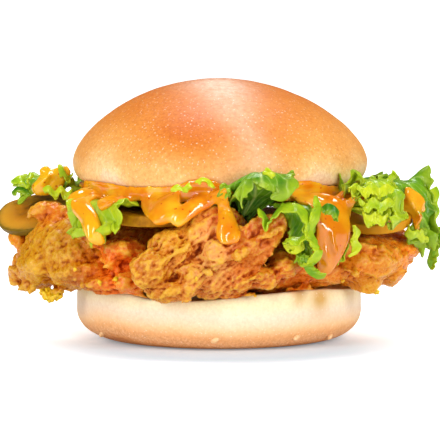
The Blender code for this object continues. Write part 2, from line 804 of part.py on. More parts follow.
def cut_clear(obj, cutters, gap, collection, finish):
    """Cuts the neighbours and this gap round them out of obj. EXACT fails where a leaf crosses itself."""
    name = obj.name
    for cutter in cutters:
        cutter.modifiers["Swell"].strength = gap
        cut = obj.modifiers.new("Clear", "BOOLEAN")
        cut.operation = "DIFFERENCE"
        cut.solver = "MANIFOLD"
        cut.object = cutter
    return link(name, largest_body(realised(obj)), collection, finish)


def fitted(obj, triangles, cutters, collection, finish):
    """Melts the sauce, cuts its neighbours out of it, thins it, and trims what thinning brought too near."""
    obj = thinned(melted(obj), triangles, collection, finish)
    obj = cut_clear(obj, cutters, CUT_GAP, collection, finish)
    obj = thinned(obj, triangles, collection, finish)
    return cut_clear(obj, cutters, TRIM_GAP, collection, finish)


def add_sauce(neighbours, collection, cutting, finish):
    cutters = [swollen(obj, cutting, finish) for obj in neighbours]
    poured = ropes("sauce", (*SAUCE_RUNS, sauce_lip()), collection, finish)
    spread = realised(turned("sauce_spread", spread_profile(), SPREAD_STEPS, collection, finish))
    for v in spread.vertices:
        v.co.xy *= 1 + SAUCE_UNEVEN * noise.noise(Vector((v.co.x, v.co.y, 0)) * UNEVEN_SCALE * 2)
    builder = bmesh.new()
    builder.from_mesh(poured.data)
    builder.from_mesh(spread)
    builder.to_mesh(poured.data)
    builder.free()
    fitted(poured, SAUCE_TRIANGLES, cutters, collection, finish)
    for name, stations in SAUCE_SPOTS:
        spot = ropes(name, (stations,), collection, finish)
        fitted(spot, SPOT_TRIANGLES, cutters, collection, finish)


def main():
    clear_scene()
    collection = new_collection("chicken_burger")
    cutting = new_collection("cutters")
    crown_crust = material("crown_crust", (0.86, 0.40, 0.13), 0.5)
    heel_crust = material("heel_crust", (0.94, 0.72, 0.46), 0.65)
    batter = material("fried_batter", (0.72, 0.27, 0.03), 0.55)
    gherkin = material("pickled_gherkin", (0.42, 0.24, 0.03), 0.3)
    lettuce = material("lettuce", (0.38, 0.56, 0.03), 0.4)
    dressing = material("dressing", (0.90, 0.30, 0.02), 0.2)
    heel = add_heel(collection, heel_crust)
    crown = add_crown(collection, crown_crust)
    slices, dents = add_pickles(collection, gherkin, cutting)
    fillet = add_fillet(collection, batter, dents)
    placed = [heel, crown, fillet, *slices]
    for leaf in LEAVES:
        placed.append(add_leaf(leaf, placed, collection, lettuce))
    add_sauce([piece for piece in placed if piece is not heel], collection, cutting, dressing)


main()
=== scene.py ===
"""A crispy chicken burger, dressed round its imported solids.

It goes together here as it does in a kitchen: the lower bun, the fried fillet, the gherkin slices, the
lettuce, the sauce and the upper bun, and then the table and the studio round it.
Metres, +Z up, in the frame of the solids. The front, where the sauce runs down, faces -Y.
"""

import math
import random

import bmesh
import bpy
import numpy as np
from mathutils import Euler, Matrix, Vector, noise
from mathutils.bvhtree import BVHTree


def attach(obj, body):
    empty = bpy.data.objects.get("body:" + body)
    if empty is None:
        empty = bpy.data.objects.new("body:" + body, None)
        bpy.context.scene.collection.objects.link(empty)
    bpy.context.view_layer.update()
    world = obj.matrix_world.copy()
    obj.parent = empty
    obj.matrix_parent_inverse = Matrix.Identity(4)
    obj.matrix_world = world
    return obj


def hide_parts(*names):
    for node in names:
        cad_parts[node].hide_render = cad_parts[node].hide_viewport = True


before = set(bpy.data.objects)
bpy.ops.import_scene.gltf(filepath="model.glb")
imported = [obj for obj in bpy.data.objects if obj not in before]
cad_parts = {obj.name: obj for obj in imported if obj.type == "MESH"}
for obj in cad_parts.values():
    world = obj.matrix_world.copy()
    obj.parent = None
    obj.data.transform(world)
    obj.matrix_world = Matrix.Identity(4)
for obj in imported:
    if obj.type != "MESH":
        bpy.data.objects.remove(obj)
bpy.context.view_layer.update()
bpy.ops.object.select_all(action="DESELECT")

MM = 0.001

# The lower bun: soft white bread, cut flat across. It is pale at the cut, tanned below its middle and
# browned in speckles at the foot that stood on the baking tray. Sesame seeds baked on to the foot.

HEEL_RADIUS = 49.6 * MM
HEEL_FOOT_RADIUS = 36.5 * MM
HEEL_HEIGHT = 16.4 * MM
HEEL_FOOT_RISE = 9.5 * MM
HEEL_EDGE = 1.4 * MM
TURN_STEPS = 200
UNEVEN_SCALE = 28.0  # per metre
HEEL_UNEVEN = 0.8 * MM
# How far the soft rim bulges up round the fillet along the front, as (x, rise) in millimetres
RIM_RISES = (
    *((-50, 1.5), (-46, 2.4), (-31, 2.8), (-24, 1.2), (-8, 1.0), (4, 2.0), (10, 2.9)),
    *((18, 3.2), (28, 3.8), (36, 3.4), (46, 1.8), (50, 1.2)),
)
SEEDS = ((-92, 34), (-57, 33), (-36, 42), (20, 38), (66, 35), (103, 41), (151, 36), (-150, 40))
SEED_RADII = (1.55 * MM, 1.05 * MM, 0.95 * MM)


def smooth_step(low, high, value):
    t = min(1.0, max(0.0, (value - low) / (high - low)))
    return t * t * (3 - 2 * t)


def bread_rise(x, y):
    """How far the rim of the lower bun stands above its cut at this place, in metres."""
    back = 1.5 + 1.4 * noise.noise(Vector((x, y, 0)) * 40)
    front = np.interp(x / MM, *zip(*RIM_RISES))
    rise = back + (front - back) * smooth_step(5 * MM, -20 * MM, y)
    return rise * MM * smooth_step(38 * MM, 47 * MM, math.hypot(x, y))


def alone(obj):
    """Selects obj and nothing else."""
    bpy.ops.object.select_all(action="DESELECT")
    obj.select_set(True)
    bpy.context.view_layer.objects.active = obj
    return obj


def placed(name, mesh):
    """A new object for this mesh, selected alone."""
    obj = bpy.data.objects.new(name, mesh)
    bpy.context.scene.collection.objects.link(obj)
    return alone(obj)


def turned(name, outline, steps=TURN_STEPS):
    """A loaf turned round the Z axis from its half outline, given as (radius, height) from its top down its side."""
    mesh = bpy.data.meshes.new(name)
    mesh.from_pydata([(r, 0, z) for r, z in outline], [(i, i + 1) for i in range(len(outline) - 1)], [])
    loaf = placed(name, mesh)
    bpy.ops.object.mode_set(mode="EDIT")
    bpy.ops.mesh.select_all(action="SELECT")
    bpy.ops.mesh.spin(steps=steps, angle=math.tau, center=(0, 0, 0), axis=(0, 0, 1))
    bpy.ops.mesh.select_all(action="SELECT")
    bpy.ops.mesh.remove_doubles(threshold=0.02 * MM)
    bpy.ops.mesh.normals_make_consistent(inside=False)
    bpy.ops.object.mode_set(mode="OBJECT")
    bpy.ops.object.shade_smooth()
    return loaf


def across_to(inner, outer, height, count):
    """Points of a flat face from one radius to another, for an outline."""
    return [(inner + (outer - inner) * i / count, height) for i in range(count + 1)]


def hex_colour(code):
    """An sRGB hex colour as linear red, green and blue with alpha."""
    channels = [int(code[i : i + 2], 16) / 255 for i in (1, 3, 5)]
    return (*(c / 12.92 if c < 0.04045 else ((c + 0.055) / 1.055) ** 2.4 for c in channels), 1)


def add_node(tree, kind, settings=None, links=None):
    """Adds a node. A setting in lower case is a property, any other names an input. A link feeds an input."""
    node = tree.nodes.new("ShaderNode" + kind)
    for key, value in (settings or {}).items():
        if key == "stops":
            ramp = node.color_ramp
            while len(ramp.elements) < len(value):
                ramp.elements.new(0.5)
            for element, (place, code) in zip(ramp.elements, value):
                element.position = place
                element.color = hex_colour(code)
        elif isinstance(key, str) and key[0].islower():
            setattr(node, key, value)
        else:
            node.inputs[key].default_value = value
    for key, source in (links or {}).items():
        tree.links.new(node.inputs[key], source)
    return node


def new_material(name):
    """A material with an empty node tree but for its output and shader."""
    material = bpy.data.materials.new(name)
    material.use_nodes = True
    tree = material.node_tree
    tree.nodes.clear()
    shader = add_node(tree, "BsdfPrincipled")
    add_node(tree, "OutputMaterial", links={"Surface": shader.outputs["BSDF"]})
    return material, tree, shader


def feature(millimetres):
    """The scale of a pattern on Object coordinates whose features are this big."""
    return 1 / (millimetres * MM)


def points_of(mesh):
    """The mesh's points as rows of an array."""
    points = np.empty(len(mesh.vertices) * 3)
    mesh.vertices.foreach_get("co", points)
    return points.reshape(-1, 3)


def stored(mesh, name, values):
    """Keeps a value for each point of the mesh, for its material to read."""
    mesh.attributes.new(name, "FLOAT", "POINT").data.foreach_set("value", np.asarray(values, np.float32))


def painted(obj, name, spots):
    """Keeps soft spots for a material to read. Each is a centre and a radius in millimetres, and a strength."""
    values = np.zeros(len(obj.data.vertices))
    points = points_of(obj.data) / MM
    for centre, radius, strength in spots:
        values += strength * np.exp(-(((points - centre) ** 2).sum(1)) / radius**2)
    stored(obj.data, name, values)


def bread_crust(name, low, high, stops, blotch, roughness, grain_share, foot_share):
    """Baked bread crust: brushed and baked dry, so satin. Its colour runs up its height, in soft blotches.

    Painted spots make it browner, soak it with juice, or lighten it pinkish white, as flour dust and a
    painted highlight. The pale specks of the dough are about 0.6 mm long. The bump is drawn coarser than
    it really is, at 0.7 mm, so that it shows.
    """
    material, tree, shader = new_material(name)
    place = add_node(tree, "TexCoord").outputs["Object"]
    split = add_node(tree, "SeparateXYZ", links={0: place})
    soft = {"Scale": feature(22), "Detail": 4.0, "Roughness": 0.6}
    clouds = add_node(tree, "TexNoise", soft, {"Vector": place})
    shift = add_node(tree, "MapRange", {1: 0.3, 2: 0.7, 3: -blotch, 4: blotch}, {0: clouds.outputs["Fac"]})
    browned = add_node(tree, "Attribute", {"attribute_name": "browned"}).outputs["Fac"]
    moved = add_node(tree, "Math", {"operation": "ADD"}, {0: browned, 1: shift.outputs["Result"]})
    raised = add_node(tree, "Math", {"operation": "ADD"}, {0: split.outputs["Z"], 1: moved.outputs[0]})
    height = add_node(tree, "MapRange", {1: low, 2: high}, {0: raised.outputs[0]})
    baked = add_node(tree, "ValToRGB", {"stops": stops}, {0: height.outputs["Result"]})
    grain = add_node(
        tree, "TexNoise", {"Scale": feature(1.1), "Detail": 3.0, "Roughness": 0.7}, {"Vector": place}
    )
    mottle = add_node(
        tree, "ValToRGB", {"stops": ((0.32, "#e9d0bc"), (0.6, "#ffffff"))}, {0: grain.outputs["Fac"]}
    )
    mottled = add_node(
        tree,
        "Mix",
        {"data_type": "RGBA", "blend_type": "MULTIPLY", 0: grain_share},
        {6: baked.outputs["Color"], 7: mottle.outputs["Color"]},
    )
    upright = add_node(tree, "VectorMath", {"operation": "MULTIPLY", 1: (1, 1, 0.4)}, {0: place})
    fibres = add_node(
        tree,
        "TexNoise",
        {"Scale": feature(0.8), "Detail": 3.0, "Roughness": 0.7, "Distortion": 0.6},
        {"Vector": upright.outputs[0]},
    )
    strands = add_node(tree, "MapRange", {1: 0.42, 2: 0.6}, {0: fibres.outputs["Fac"]})
    near_foot = add_node(tree, "MapRange", {1: 0.42, 2: 0.06, 3: 0.0, 4: foot_share}, {0: height.outputs["Result"]})
    stranded = add_node(
        tree, "Math", {"operation": "MULTIPLY"}, {0: strands.outputs["Result"], 1: near_foot.outputs["Result"]}
    )
    mottled = add_node(
        tree,
        "Mix",
        {"data_type": "RGBA", 7: hex_colour("#cc7e3c")},
        {0: stranded.outputs[0], 6: mottled.outputs[2]},
    )
    soaked = add_node(tree, "Attribute", {"attribute_name": "soaked"}).outputs["Fac"]
    wet = add_node(
        tree, "Mix", {"data_type": "RGBA", 7: hex_colour("#d8ab62")}, {0: soaked, 6: mottled.outputs[2]}
    )
    # Flour dust with a painted highlight: where these spots lie, the crust is lightened towards pinkish white.
    dusted = add_node(tree, "Attribute", {"attribute_name": "dusted"}).outputs["Fac"]
    patches = add_node(
        tree, "TexNoise", {"Scale": feature(2.2), "Detail": 4.0, "Roughness": 0.7}, {"Vector": place}
    )
    uneven = add_node(tree, "MapRange", {1: 0.36, 2: 0.62, 3: 0.55, 4: 1.0}, {0: patches.outputs["Fac"]})
    floury = add_node(tree, "Math", {"operation": "MULTIPLY"}, {0: dusted, 1: uneven.outputs["Result"]})
    dusty = add_node(
        tree,
        "Mix",
        {"data_type": "RGBA", 7: hex_colour("#f7d6bd")},
        {0: floury.outputs[0], 6: wet.outputs[2]},
    )
    frayed = add_node(tree, "VectorMath", {"operation": "SCALE", "Scale": 0.9 * MM}, {0: grain.outputs["Color"]})
    bent = add_node(tree, "VectorMath", {"operation": "ADD"}, {0: place, 1: frayed.outputs[0]})
    specks = add_node(
        tree, "TexVoronoi", {"Scale": feature(1.25), "Randomness": 1.0}, {"Vector": bent.outputs[0]}
    )
    dots = add_node(tree, "MapRange", {1: 0.24, 2: 0.08, 3: 0.0, 4: 0.9}, {0: specks.outputs["Distance"]})
    some = add_node(tree, "MapRange", {1: 0.34, 2: 0.66, 3: 0.06, 4: 0.85}, {0: patches.outputs["Fac"]})
    shown = add_node(
        tree, "Math", {"operation": "MULTIPLY"}, {0: dots.outputs["Result"], 1: some.outputs["Result"]}
    )
    specked = add_node(
        tree,
        "Mix",
        {"data_type": "RGBA", 7: hex_colour("#fff3df")},
        {0: shown.outputs[0], 6: dusty.outputs[2]},
    )
    tree.links.new(shader.inputs["Base Color"], specked.outputs[2])
    relief = add_node(
        tree, "TexNoise", {"Scale": feature(0.8), "Detail": 3.0, "Roughness": 0.65}, {"Vector": place}
    )
    bump = add_node(
        tree, "Bump", {"Strength": 0.35, "Distance": 0.25 * MM}, {"Height": relief.outputs["Fac"]}
    )
    tree.links.new(shader.inputs["Normal"], bump.outputs["Normal"])
    shader.inputs["Roughness"].default_value = roughness
    shader.inputs["Specular IOR Level"].default_value = 0.25
    shader.inputs["Subsurface Weight"].default_value = 0.12
    shader.inputs["Subsurface Radius"].default_value = (1.0, 0.5, 0.25)
    shader.inputs["Subsurface Scale"].default_value = 2 * MM
    return material


def bread_crumb(name):
    """Cut white bread, toasted a little: dry and matte, with open pores about a millimetre wide."""
    material, tree, shader = new_material(name)
    place = add_node(tree, "TexCoord").outputs["Object"]
    pores = add_node(tree, "TexVoronoi", {"Scale": feature(1.8), "Randomness": 1.0}, {"Vector": place})
    toasted = add_node(
        tree, "TexNoise", {"Scale": feature(14), "Detail": 5.0, "Roughness": 0.6}, {"Vector": place}
    )
    tone = add_node(
        tree,
        "ValToRGB",
        {"stops": ((0.35, "#fbeecb"), (0.6, "#f3d59c"), (0.8, "#d99b4e"))},
        {0: toasted.outputs["Fac"]},
    )
    tree.links.new(shader.inputs["Base Color"], tone.outputs["Color"])
    bump = add_node(tree, "Bump", {"Strength": 0.8, "Distance": 0.6 * MM}, {"Height": pores.outputs["Distance"]})
    tree.links.new(shader.inputs["Normal"], bump.outputs["Normal"])
    shader.inputs["Roughness"].default_value = 0.85
    return material


def foot_point(angle):
    radius = HEEL_FOOT_RADIUS + (HEEL_RADIUS - HEEL_FOOT_RADIUS) * math.cos(angle)
    return radius, HEEL_FOOT_RISE * (1 - math.sin(angle))


heel_outline = across_to(0, HEEL_RADIUS - HEEL_EDGE, HEEL_HEIGHT, 30)
heel_outline += [
    (HEEL_RADIUS - 0.75 * MM, HEEL_HEIGHT - 0.25 * MM),
    (HEEL_RADIUS - 0.35 * MM, HEEL_HEIGHT - 0.9 * MM),
    (HEEL_RADIUS - 0.12 * MM, HEEL_HEIGHT - 2.2 * MM),
    (HEEL_RADIUS - 0.03 * MM, HEEL_HEIGHT - 4.2 * MM),
]
heel_outline += [foot_point(math.radians(turn)) for turn in range(0, 91, 3)]
heel_outline += across_to(HEEL_FOOT_RADIUS, 0, 0, 24)[1:]
heel = turned("lower_bun", heel_outline)
for v in heel.data.vertices:
    if 0.3 * MM < v.co.z < HEEL_HEIGHT - 0.2 * MM:
        outward = Vector((v.co.x, v.co.y, 0)).normalized()
        fade = min(1.0, v.co.z / (3 * MM))
        slow = HEEL_UNEVEN * noise.noise(v.co * UNEVEN_SCALE)
        fine = 0.12 * MM * noise.noise(v.co * feature(3.5))
        v.co += outward * (slow + fine) * fade
HEEL_BROWNING = (
    (0.0, "#c07c40"),
    (0.04, "#e6a666"),
    (0.13, "#f4c08c"),
    (0.3, "#f8bd80"),
    (0.45, "#fad09c"),
    (0.6, "#fadebb"),
    (0.75, "#fae8cc"),
    (1.0, "#fff4c8"),
)
heel_crust = bread_crust("toasted_bread_crust", 0, HEEL_HEIGHT, HEEL_BROWNING, 0.9 * MM, 0.55, 0.3, 0.75)
crumb = bread_crumb("toasted_bread_crumb")
heel.data.materials.append(heel_crust)
heel.data.materials.append(crumb)
for face in heel.data.polygons:
    face.material_index = 1 if face.center.z > HEEL_HEIGHT - 0.1 * MM else 0
for v in heel.data.vertices:
    v.co.z += bread_rise(v.co.x, v.co.y) * smooth_step(HEEL_FOOT_RISE, HEEL_HEIGHT, v.co.z)
painted(heel, "soaked", (((27, -41.5, 18.6), 3.0, 0.9), ((34.5, -36, 17), 4.2, 1.2), ((-31, 38, 15), 5.0, 0.8)))
painted(heel, "browned", (((-38, -31, 5), 16, -0.0026), ((38, -30, 4), 14, -0.001), ((8, -50, 3), 16, 0.0008)))
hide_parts("bun_heel")
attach(heel, "root")

seeds = []
for azimuth, lift in SEEDS:
    about, up = math.radians(azimuth), math.radians(lift)
    reach, height = foot_point(up)
    bpy.ops.mesh.primitive_uv_sphere_add(
        segments=20,
        ring_count=12,
        radius=1,
        location=((reach + 0.15 * MM) * math.cos(about), (reach + 0.15 * MM) * math.sin(about), height),
        rotation=(0, -up, about + math.pi / 2),
        scale=SEED_RADII,
    )
    seed = bpy.context.object
    for v in seed.data.vertices:
        v.co.y *= 1 - 0.4 * v.co.x
    bpy.ops.object.transform_apply(location=True, rotation=True, scale=True)
    bpy.ops.object.shade_smooth()
    seeds.append(seed)
bpy.ops.object.select_all(action="DESELECT")
for seed in seeds:
    seed.select_set(True)
bpy.context.view_layer.objects.active = seeds[0]
bpy.ops.object.join()
seeds = bpy.context.object
seeds.name = "sesame_seeds"
material, tree, shader = new_material("baked_sesame")
place = add_node(tree, "TexCoord").outputs["Object"]
streaks = add_node(tree, "TexNoise", {"Scale": feature(0.9), "Detail": 2.0}, {"Vector": place})
tone = add_node(
    tree, "ValToRGB", {"stops": ((0.3, "#e8b47a"), (0.7, "#f5d09c"))}, {0: streaks.outputs["Fac"]}
)
tree.links.new(shader.inputs["Base Color"], tone.outputs["Color"])
shader.inputs["Roughness"].default_value = 0.4
seeds.data.materials.append(material)
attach(seeds, "root")

# The fried fillet: a whole piece of chicken, turned in wet batter and flour and deep fried. The batter
# blisters into bubbles and crisp flanges. Its crests dry to gold; its creases are oily, and painted shade
# darkens them to red-brown.

FILLET_TOP = 43.2 * MM
FILLET_HANG = 1.6 * MM
FILLET_RISE = 7.5 * MM
CRUST_GAP = 0.35 * MM
CRUST_VOXEL = 0.74 * MM

# Each lump: centre, half sizes and turns about X, Y and Z, in millimetres and degrees
FILLET_LUMPS = (
    ((0, 3, 31), (53, 42, 15.0), (0, 0, 0)),  # the middle of the meat
    ((-52, -17, 31), (15, 21, 14.0), (0, 10, 8)),  # the big lobe at the left
    ((-61, -15, 27), (9, 18, 8.5), (0, 20, 0)),
    ((-47, -27, 25), (13, 13, 7.0), (0, 0, -20)),
    ((-66, -14, 20.5), (8.5, 8, 3.0), (0, 28, 20)),  # a flake of crust that hangs at the left
    ((-59, -13, 44.5), (5.5, 5, 3.2), (0, 0, 0)),  # the craggy crest of the lobe
    ((-30, -34, 24.5), (10, 10, 6.5), (0, 0, 0)),  # the hollow between the lobe and the fold
    ((-35, -34, 32), (6, 8, 5.0), (0, 0, 0)),
    ((-33, -39, 33.5), (8, 8, 5.0), (0, 0, 0)),
    ((-4, -45, 42), (14, 10, 9.0), (0, -22, 0)),  # the fold at the front
    ((-15, -47, 34), (9, 10, 9.0), (0, 0, 0)),
    ((-22.5, -53, 28.5), (7, 7, 7.5), (0, 25, 10)),  # its curled nose, low at the left
    ((-15, -52, 21.5), (9.5, 7, 4.0), (0, -12, 0)),
    ((-3, -47, 32), (8, 8, 8.0), (0, 0, 0)),
    ((8.5, -55, 34.5), (19, 2.6, 7.5), (8, -46, -6)),  # the crisp fin that stands out at the right
    ((4, -46, 22.5), (13, 9, 5.0), (0, -10, 0)),
    ((26, -33, 23.5), (20, 11, 6.5), (0, 0, 8)),  # the meat below the fin
    ((37, -20, 28.5), (15, 18, 10.0), (0, 0, 0)),
    ((45, -15, 28.5), (20, 24, 11.0), (0, 0, 0)),  # the smooth end at the right
    ((58, -8, 32), (12, 14, 6.0), (0, 8, 0)),
    ((58.5, -13, 25), (7, 12, 7.0), (0, 0, 0)),
    ((-69.5, -8, 34), (3.4, 4, 3.4), (0, 0, 0)),  # a lump behind the lobe
    ((-38, -37, 20.5), (10, 7.5, 3.4), (0, 0, 12)),
    ((-32, 30, 29), (28, 20, 13.0), (0, 0, 20)),  # the far side
    ((4, 38, 30), (26, 16, 13.0), (0, 8, 0)),
    ((36, 26, 29), (24, 20, 12.5), (0, 0, -25)),
)
CRAG_COUNT = 46
CRAG_LEFT, CRAG_RIGHT, CRAG_DEEP = 66.0, 62.0, 49.0

# Strings of small knobs along the crests and ragged edges: points in millimetres, count and size
CRESTS = (
    (((-66, -16, 43), (-61, -17, 47), (-56, -18, 46), (-52, -20, 46)), 14, 1.3),  # top of the left lobe
    (((-73, -12, 19), (-70, -18, 17.5), (-66, -22, 17), (-60, -24, 16.5), (-54, -27, 16.5)), 22, 1.1),
    (((-5, -58, 27), (3, -58.5, 32), (9, -59, 35.5), (15, -59, 41), (20, -58, 44)), 22, 0.8),  # the fin's rim
    (((20, -57, 43), (19, -57.5, 36), (16, -57.5, 30), (11, -57, 25), (2, -56, 20)), 16, 0.7),
    (((-28, -57, 31), (-28, -58, 26), (-25, -59, 21.5), (-18, -59, 17.5), (-9, -57, 17)), 20, 0.9),  # the nose
    (((-9, -55, 40), (-13, -58, 36), (-18, -59, 33), (-24, -59.5, 31)), 12, 0.8),
    (((1, -50, 17), (8, -49, 16.5), (15, -47, 16.5), (24, -43, 16.5), (33, -40, 16.5)), 24, 1.1),  # the low edge
    (((34, -40, 16.5), (43, -38, 16.5), (52, -33, 17), (59, -26, 18), (63, -20, 20)), 18, 1.0),
    (((-46, -36, 16.5), (-38, -40, 16), (-30, -42, 16), (-24, -44, 17)), 16, 1.1),
    (((-40, -40, 31), (-37, -43, 28), (-33, -44, 25)), 9, 1.3),  # knobs in the hollow
    (((-50, -36, 40), (-46, -39, 38), (-42, -40, 35)), 8, 1.3),
    (((46, -38, 36), (52, -34, 35), (58, -28, 33), (63, -22, 30)), 12, 1.2),  # the right end
    (((42, -41, 27), (48, -38, 24), (54, -34, 23), (60, -26, 25)), 14, 1.2),
)
# How high the fillet's under edge lies along its front, as (x, height) in millimetres
UNDER_EDGE = (
    *((-75, 20.4), (-68, 17.6), (-61, 18.0), (-51, 18.4), (-40, 18.2), (-31, 18.4), (-26, 17.6)),
    *((-8, 17.5), (1, 18.1), (10, 19.3), (20, 20.4), (28, 21.0), (36, 20.6), (44, 19.2)),
    *((57, 18.4), (62, 20.0), (66, 24.0)),
)


def through(points, t):
    """A point at share t of a smooth curve through the given points."""
    spans = len(points) - 1
    at = min(spans - 1e-9, max(0.0, t * spans))
    i = int(at)
    f = at - i
    p1, p2 = points[i], points[i + 1]
    p0 = points[i - 1] if i > 0 else p1 * 2 - p2
    p3 = points[i + 2] if i + 2 <= spans else p2 * 2 - p1
    square = (p0 * 2 - p1 * 5 + p2 * 4 - p3) * f**2
    cube = (p1 * 3 - p0 - p2 * 3 + p3) * f**3
    return 0.5 * (p1 * 2 + (p2 - p0) * f + square + cube)


def add_lump(builder, centre, radii, turns, rounds=3):
    where = Matrix.Translation(Vector(centre) * MM)
    turn = Euler([math.radians(a) for a in turns]).to_matrix().to_4x4()
    size = Matrix.Diagonal((*(r * MM for r in radii), 1))
    bmesh.ops.create_icosphere(builder, subdivisions=rounds, radius=1, matrix=where @ turn @ size)


def applied(obj, kind, **settings):
    """Adds a modifier to obj, sets it and applies it."""
    modifier = obj.modifiers.new(kind.title(), kind)
    for key, value in settings.items():
        setattr(modifier, key, value)
    alone(obj)
    bpy.ops.object.modifier_apply(modifier=modifier.name)
    return obj


def clouds(name, grain):
    texture = bpy.data.textures.new(name, "CLOUDS")
    texture.noise_scale = grain
    return texture


def settled(mesh, values, times):
    """Values at the mesh's points, each evened out with its neighbours this many times."""
    ends = np.empty(len(mesh.edges) * 2, int)
    mesh.edges.foreach_get("vertices", ends)
    a, b = ends.reshape(-1, 2).T
    count = len(mesh.vertices)
    shares = np.maximum(np.bincount(a, minlength=count) + np.bincount(b, minlength=count), 1)
    values = np.array(values, float)
    for _ in range(times):
        for column in range(values.shape[1]):
            one = values[:, column]
            total = np.bincount(a, one[b], count) + np.bincount(b, one[a], count)
            values[:, column] = 0.5 * one + 0.5 * total / shares
    return values


def standing_out(mesh, times):
    """How far each point stands out of the mesh as settled this many times, in millimetres."""
    points = points_of(mesh)
    normals = np.empty(len(mesh.vertices) * 3)
    mesh.vertices.foreach_get("normal", normals)
    away = points - settled(mesh, points, times)
    return (away * normals.reshape(-1, 3)).sum(1) / MM


# The gherkin slices that press into the fillet: node, centre in millimetres and lean about X and Y
PICKLES = (
    ("pickle_left", (-62.5, 1, 43.0), (28, -24)),
    ("pickle_front", (-22, -33, 45.3), (4, 0)),
    ("pickle_right", (51, -17, 45.2), (19, 3)),
    ("pickle_back_left", (-20, 30, 45.3), (-3, 0)),
    ("pickle_back_right", (22, 32, 45.3), (-4, 2)),
)
PICKLE_THICKNESS = 3.6 * MM
PICKLE_RADIUS = 16.0 * MM
PICKLE_EDGE = 0.6 * MM


def pressed_down(point, margin):
    """The point, moved down out of any gherkin slice above it."""
    for _, centre, lean in PICKLES:
        turn = Euler((math.radians(lean[0]), math.radians(lean[1]), 0)).to_matrix()
        local = turn.transposed() @ (point - Vector(centre) * MM)
        half = PICKLE_THICKNESS / 2 + margin
        reach = PICKLE_RADIUS + 1.2 * MM - math.hypot(local.x, local.y)
        if reach > 0 and local.z > -half and centre[0] > -60:
            local.z = -half
            point = turn @ local + Vector(centre) * MM
    return point


def keep_largest(obj):
    """Deletes every loose island of the mesh but the largest."""
    builder = bmesh.new()
    builder.from_mesh(obj.data)
    unseen = set(builder.verts)
    islands = []
    while unseen:
        island, edge = [], [unseen.pop()]
        while edge:
            vert = edge.pop()
            island.append(vert)
            for link in vert.link_edges:
                other = link.other_vert(vert)
                if other in unseen:
                    unseen.remove(other)
                    edge.append(other)
        islands.append(island)
    islands.sort(key=len)
    bmesh.ops.delete(builder, geom=[vert for island in islands[:-1] for vert in island], context="VERTS")
    builder.to_mesh(obj.data)
    builder.free()


def batter_relief(p):
    """The height of the batter's relief at this point, in millimetres, for a point in millimetres."""
    near = noise.voronoi(p / 1.9)[0][0]
    bubbles = 0.5 - min(0.8, near * 1.3) ** 2
    billows = noise.fractal(p / 5.5, 0.9, 2.0, 3)
    leaning = Vector((0.8 * p.x + 0.6 * p.z, p.y, 0.8 * p.z - 0.6 * p.x))
    leaning.x *= 0.35
    folds = max(-0.1, 1 - abs(noise.noise(leaning / 2.8)) * 2.8)
    crackle = max(0.0, 1 - abs(noise.noise(p / 1.9 + Vector((7, 3, 1)))) * 3)
    folded = smooth_step(-32, -26, p.x) * (1 - smooth_step(20, 27, p.x)) * smooth_step(-36, -44, p.y)
    calm = smooth_step(24, 36, p.x)
    plain = 0.5 * bubbles + 0.8 * billows * (1 - 0.15 * calm) + 0.18 * crackle
    fin = math.exp(-((p.x - 13) ** 2 + (p.z - 34) ** 2) / 90) * folded
    fine = 0.3 * noise.fractal(p / 1.3, 0.8, 2.0, 2)
    return plain * (1 - 0.5 * folded) + folded * (1 - 0.6 * fin) * (0.75 * folds + 0.35 * crackle) - 0.35 + fine


def under_fillet(x, y):
    """How much higher the fillet's under side is here than the plain bottom of its lumps."""
    edge = np.interp(x / MM, *zip(*UNDER_EDGE)) * MM
    lift = (edge - HEEL_HEIGHT - CRUST_GAP) * smooth_step(0, -25 * MM, y)
    lift *= smooth_step(39 * MM, 50 * MM, math.hypot(x, y))
    return max(lift, bread_rise(x, y))


def fillet_limits(x, y):
    """The lowest and the highest that the fillet may reach at this place."""
    distance = math.hypot(x, y)
    hang = smooth_step(HEEL_RADIUS + 2.2 * MM, HEEL_RADIUS + 12 * MM, distance)
    rise = smooth_step(44 * MM, 53 * MM, distance)
    low = HEEL_HEIGHT + CRUST_GAP - FILLET_HANG * hang + under_fillet(x, y)
    return low, FILLET_TOP + FILLET_RISE * rise


builder = bmesh.new()
for lump in FILLET_LUMPS:
    add_lump(builder, *lump)
chance = random.Random(11)
for i in range(CRAG_COUNT):
    angle = i * math.radians(137.5)
    reach = 1 + 0.07 * math.sin(angle * 3)
    x = (CRAG_RIGHT if math.cos(angle) > 0 else CRAG_LEFT) * math.cos(angle) * reach
    y = CRAG_DEEP * math.sin(angle) * reach
    z = chance.uniform(21.5, 35.5)
    size = chance.uniform(3.2, 6.2)
    add_lump(builder, (x, y, z), (size * 1.25, size, size), (0, chance.uniform(0, 30), math.degrees(angle)))
for points, count, size in CRESTS:
    points = [Vector(p) for p in points]
    for i in range(count):
        centre = through(points, (i + chance.random()) / count)
        centre += Vector((chance.gauss(0, 0.7), chance.gauss(0, 0.7), chance.gauss(0, 0.5)))
        radii = [size * chance.uniform(0.6, 1.5) for _ in range(3)]
        add_lump(builder, centre, radii, [chance.uniform(0, 180) for _ in range(3)], 2)
mesh = bpy.data.meshes.new("fried_fillet")
builder.to_mesh(mesh)
builder.free()
fillet = placed("fried_fillet", mesh)
applied(fillet, "REMESH", mode="VOXEL", voxel_size=CRUST_VOXEL * 1.2)
applied(
    fillet, "DISPLACE", texture=clouds("Folds", 10 * MM), texture_coords="GLOBAL", strength=3.8 * MM
)
applied(
    fillet, "DISPLACE", texture=clouds("Knobs", 5.5 * MM), texture_coords="GLOBAL", strength=1.9 * MM
)
applied(fillet, "REMESH", mode="VOXEL", voxel_size=CRUST_VOXEL)
relief = [batter_relief(v.co / MM) * MM for v in fillet.data.vertices]
normals = [v.normal.copy() for v in fillet.data.vertices]
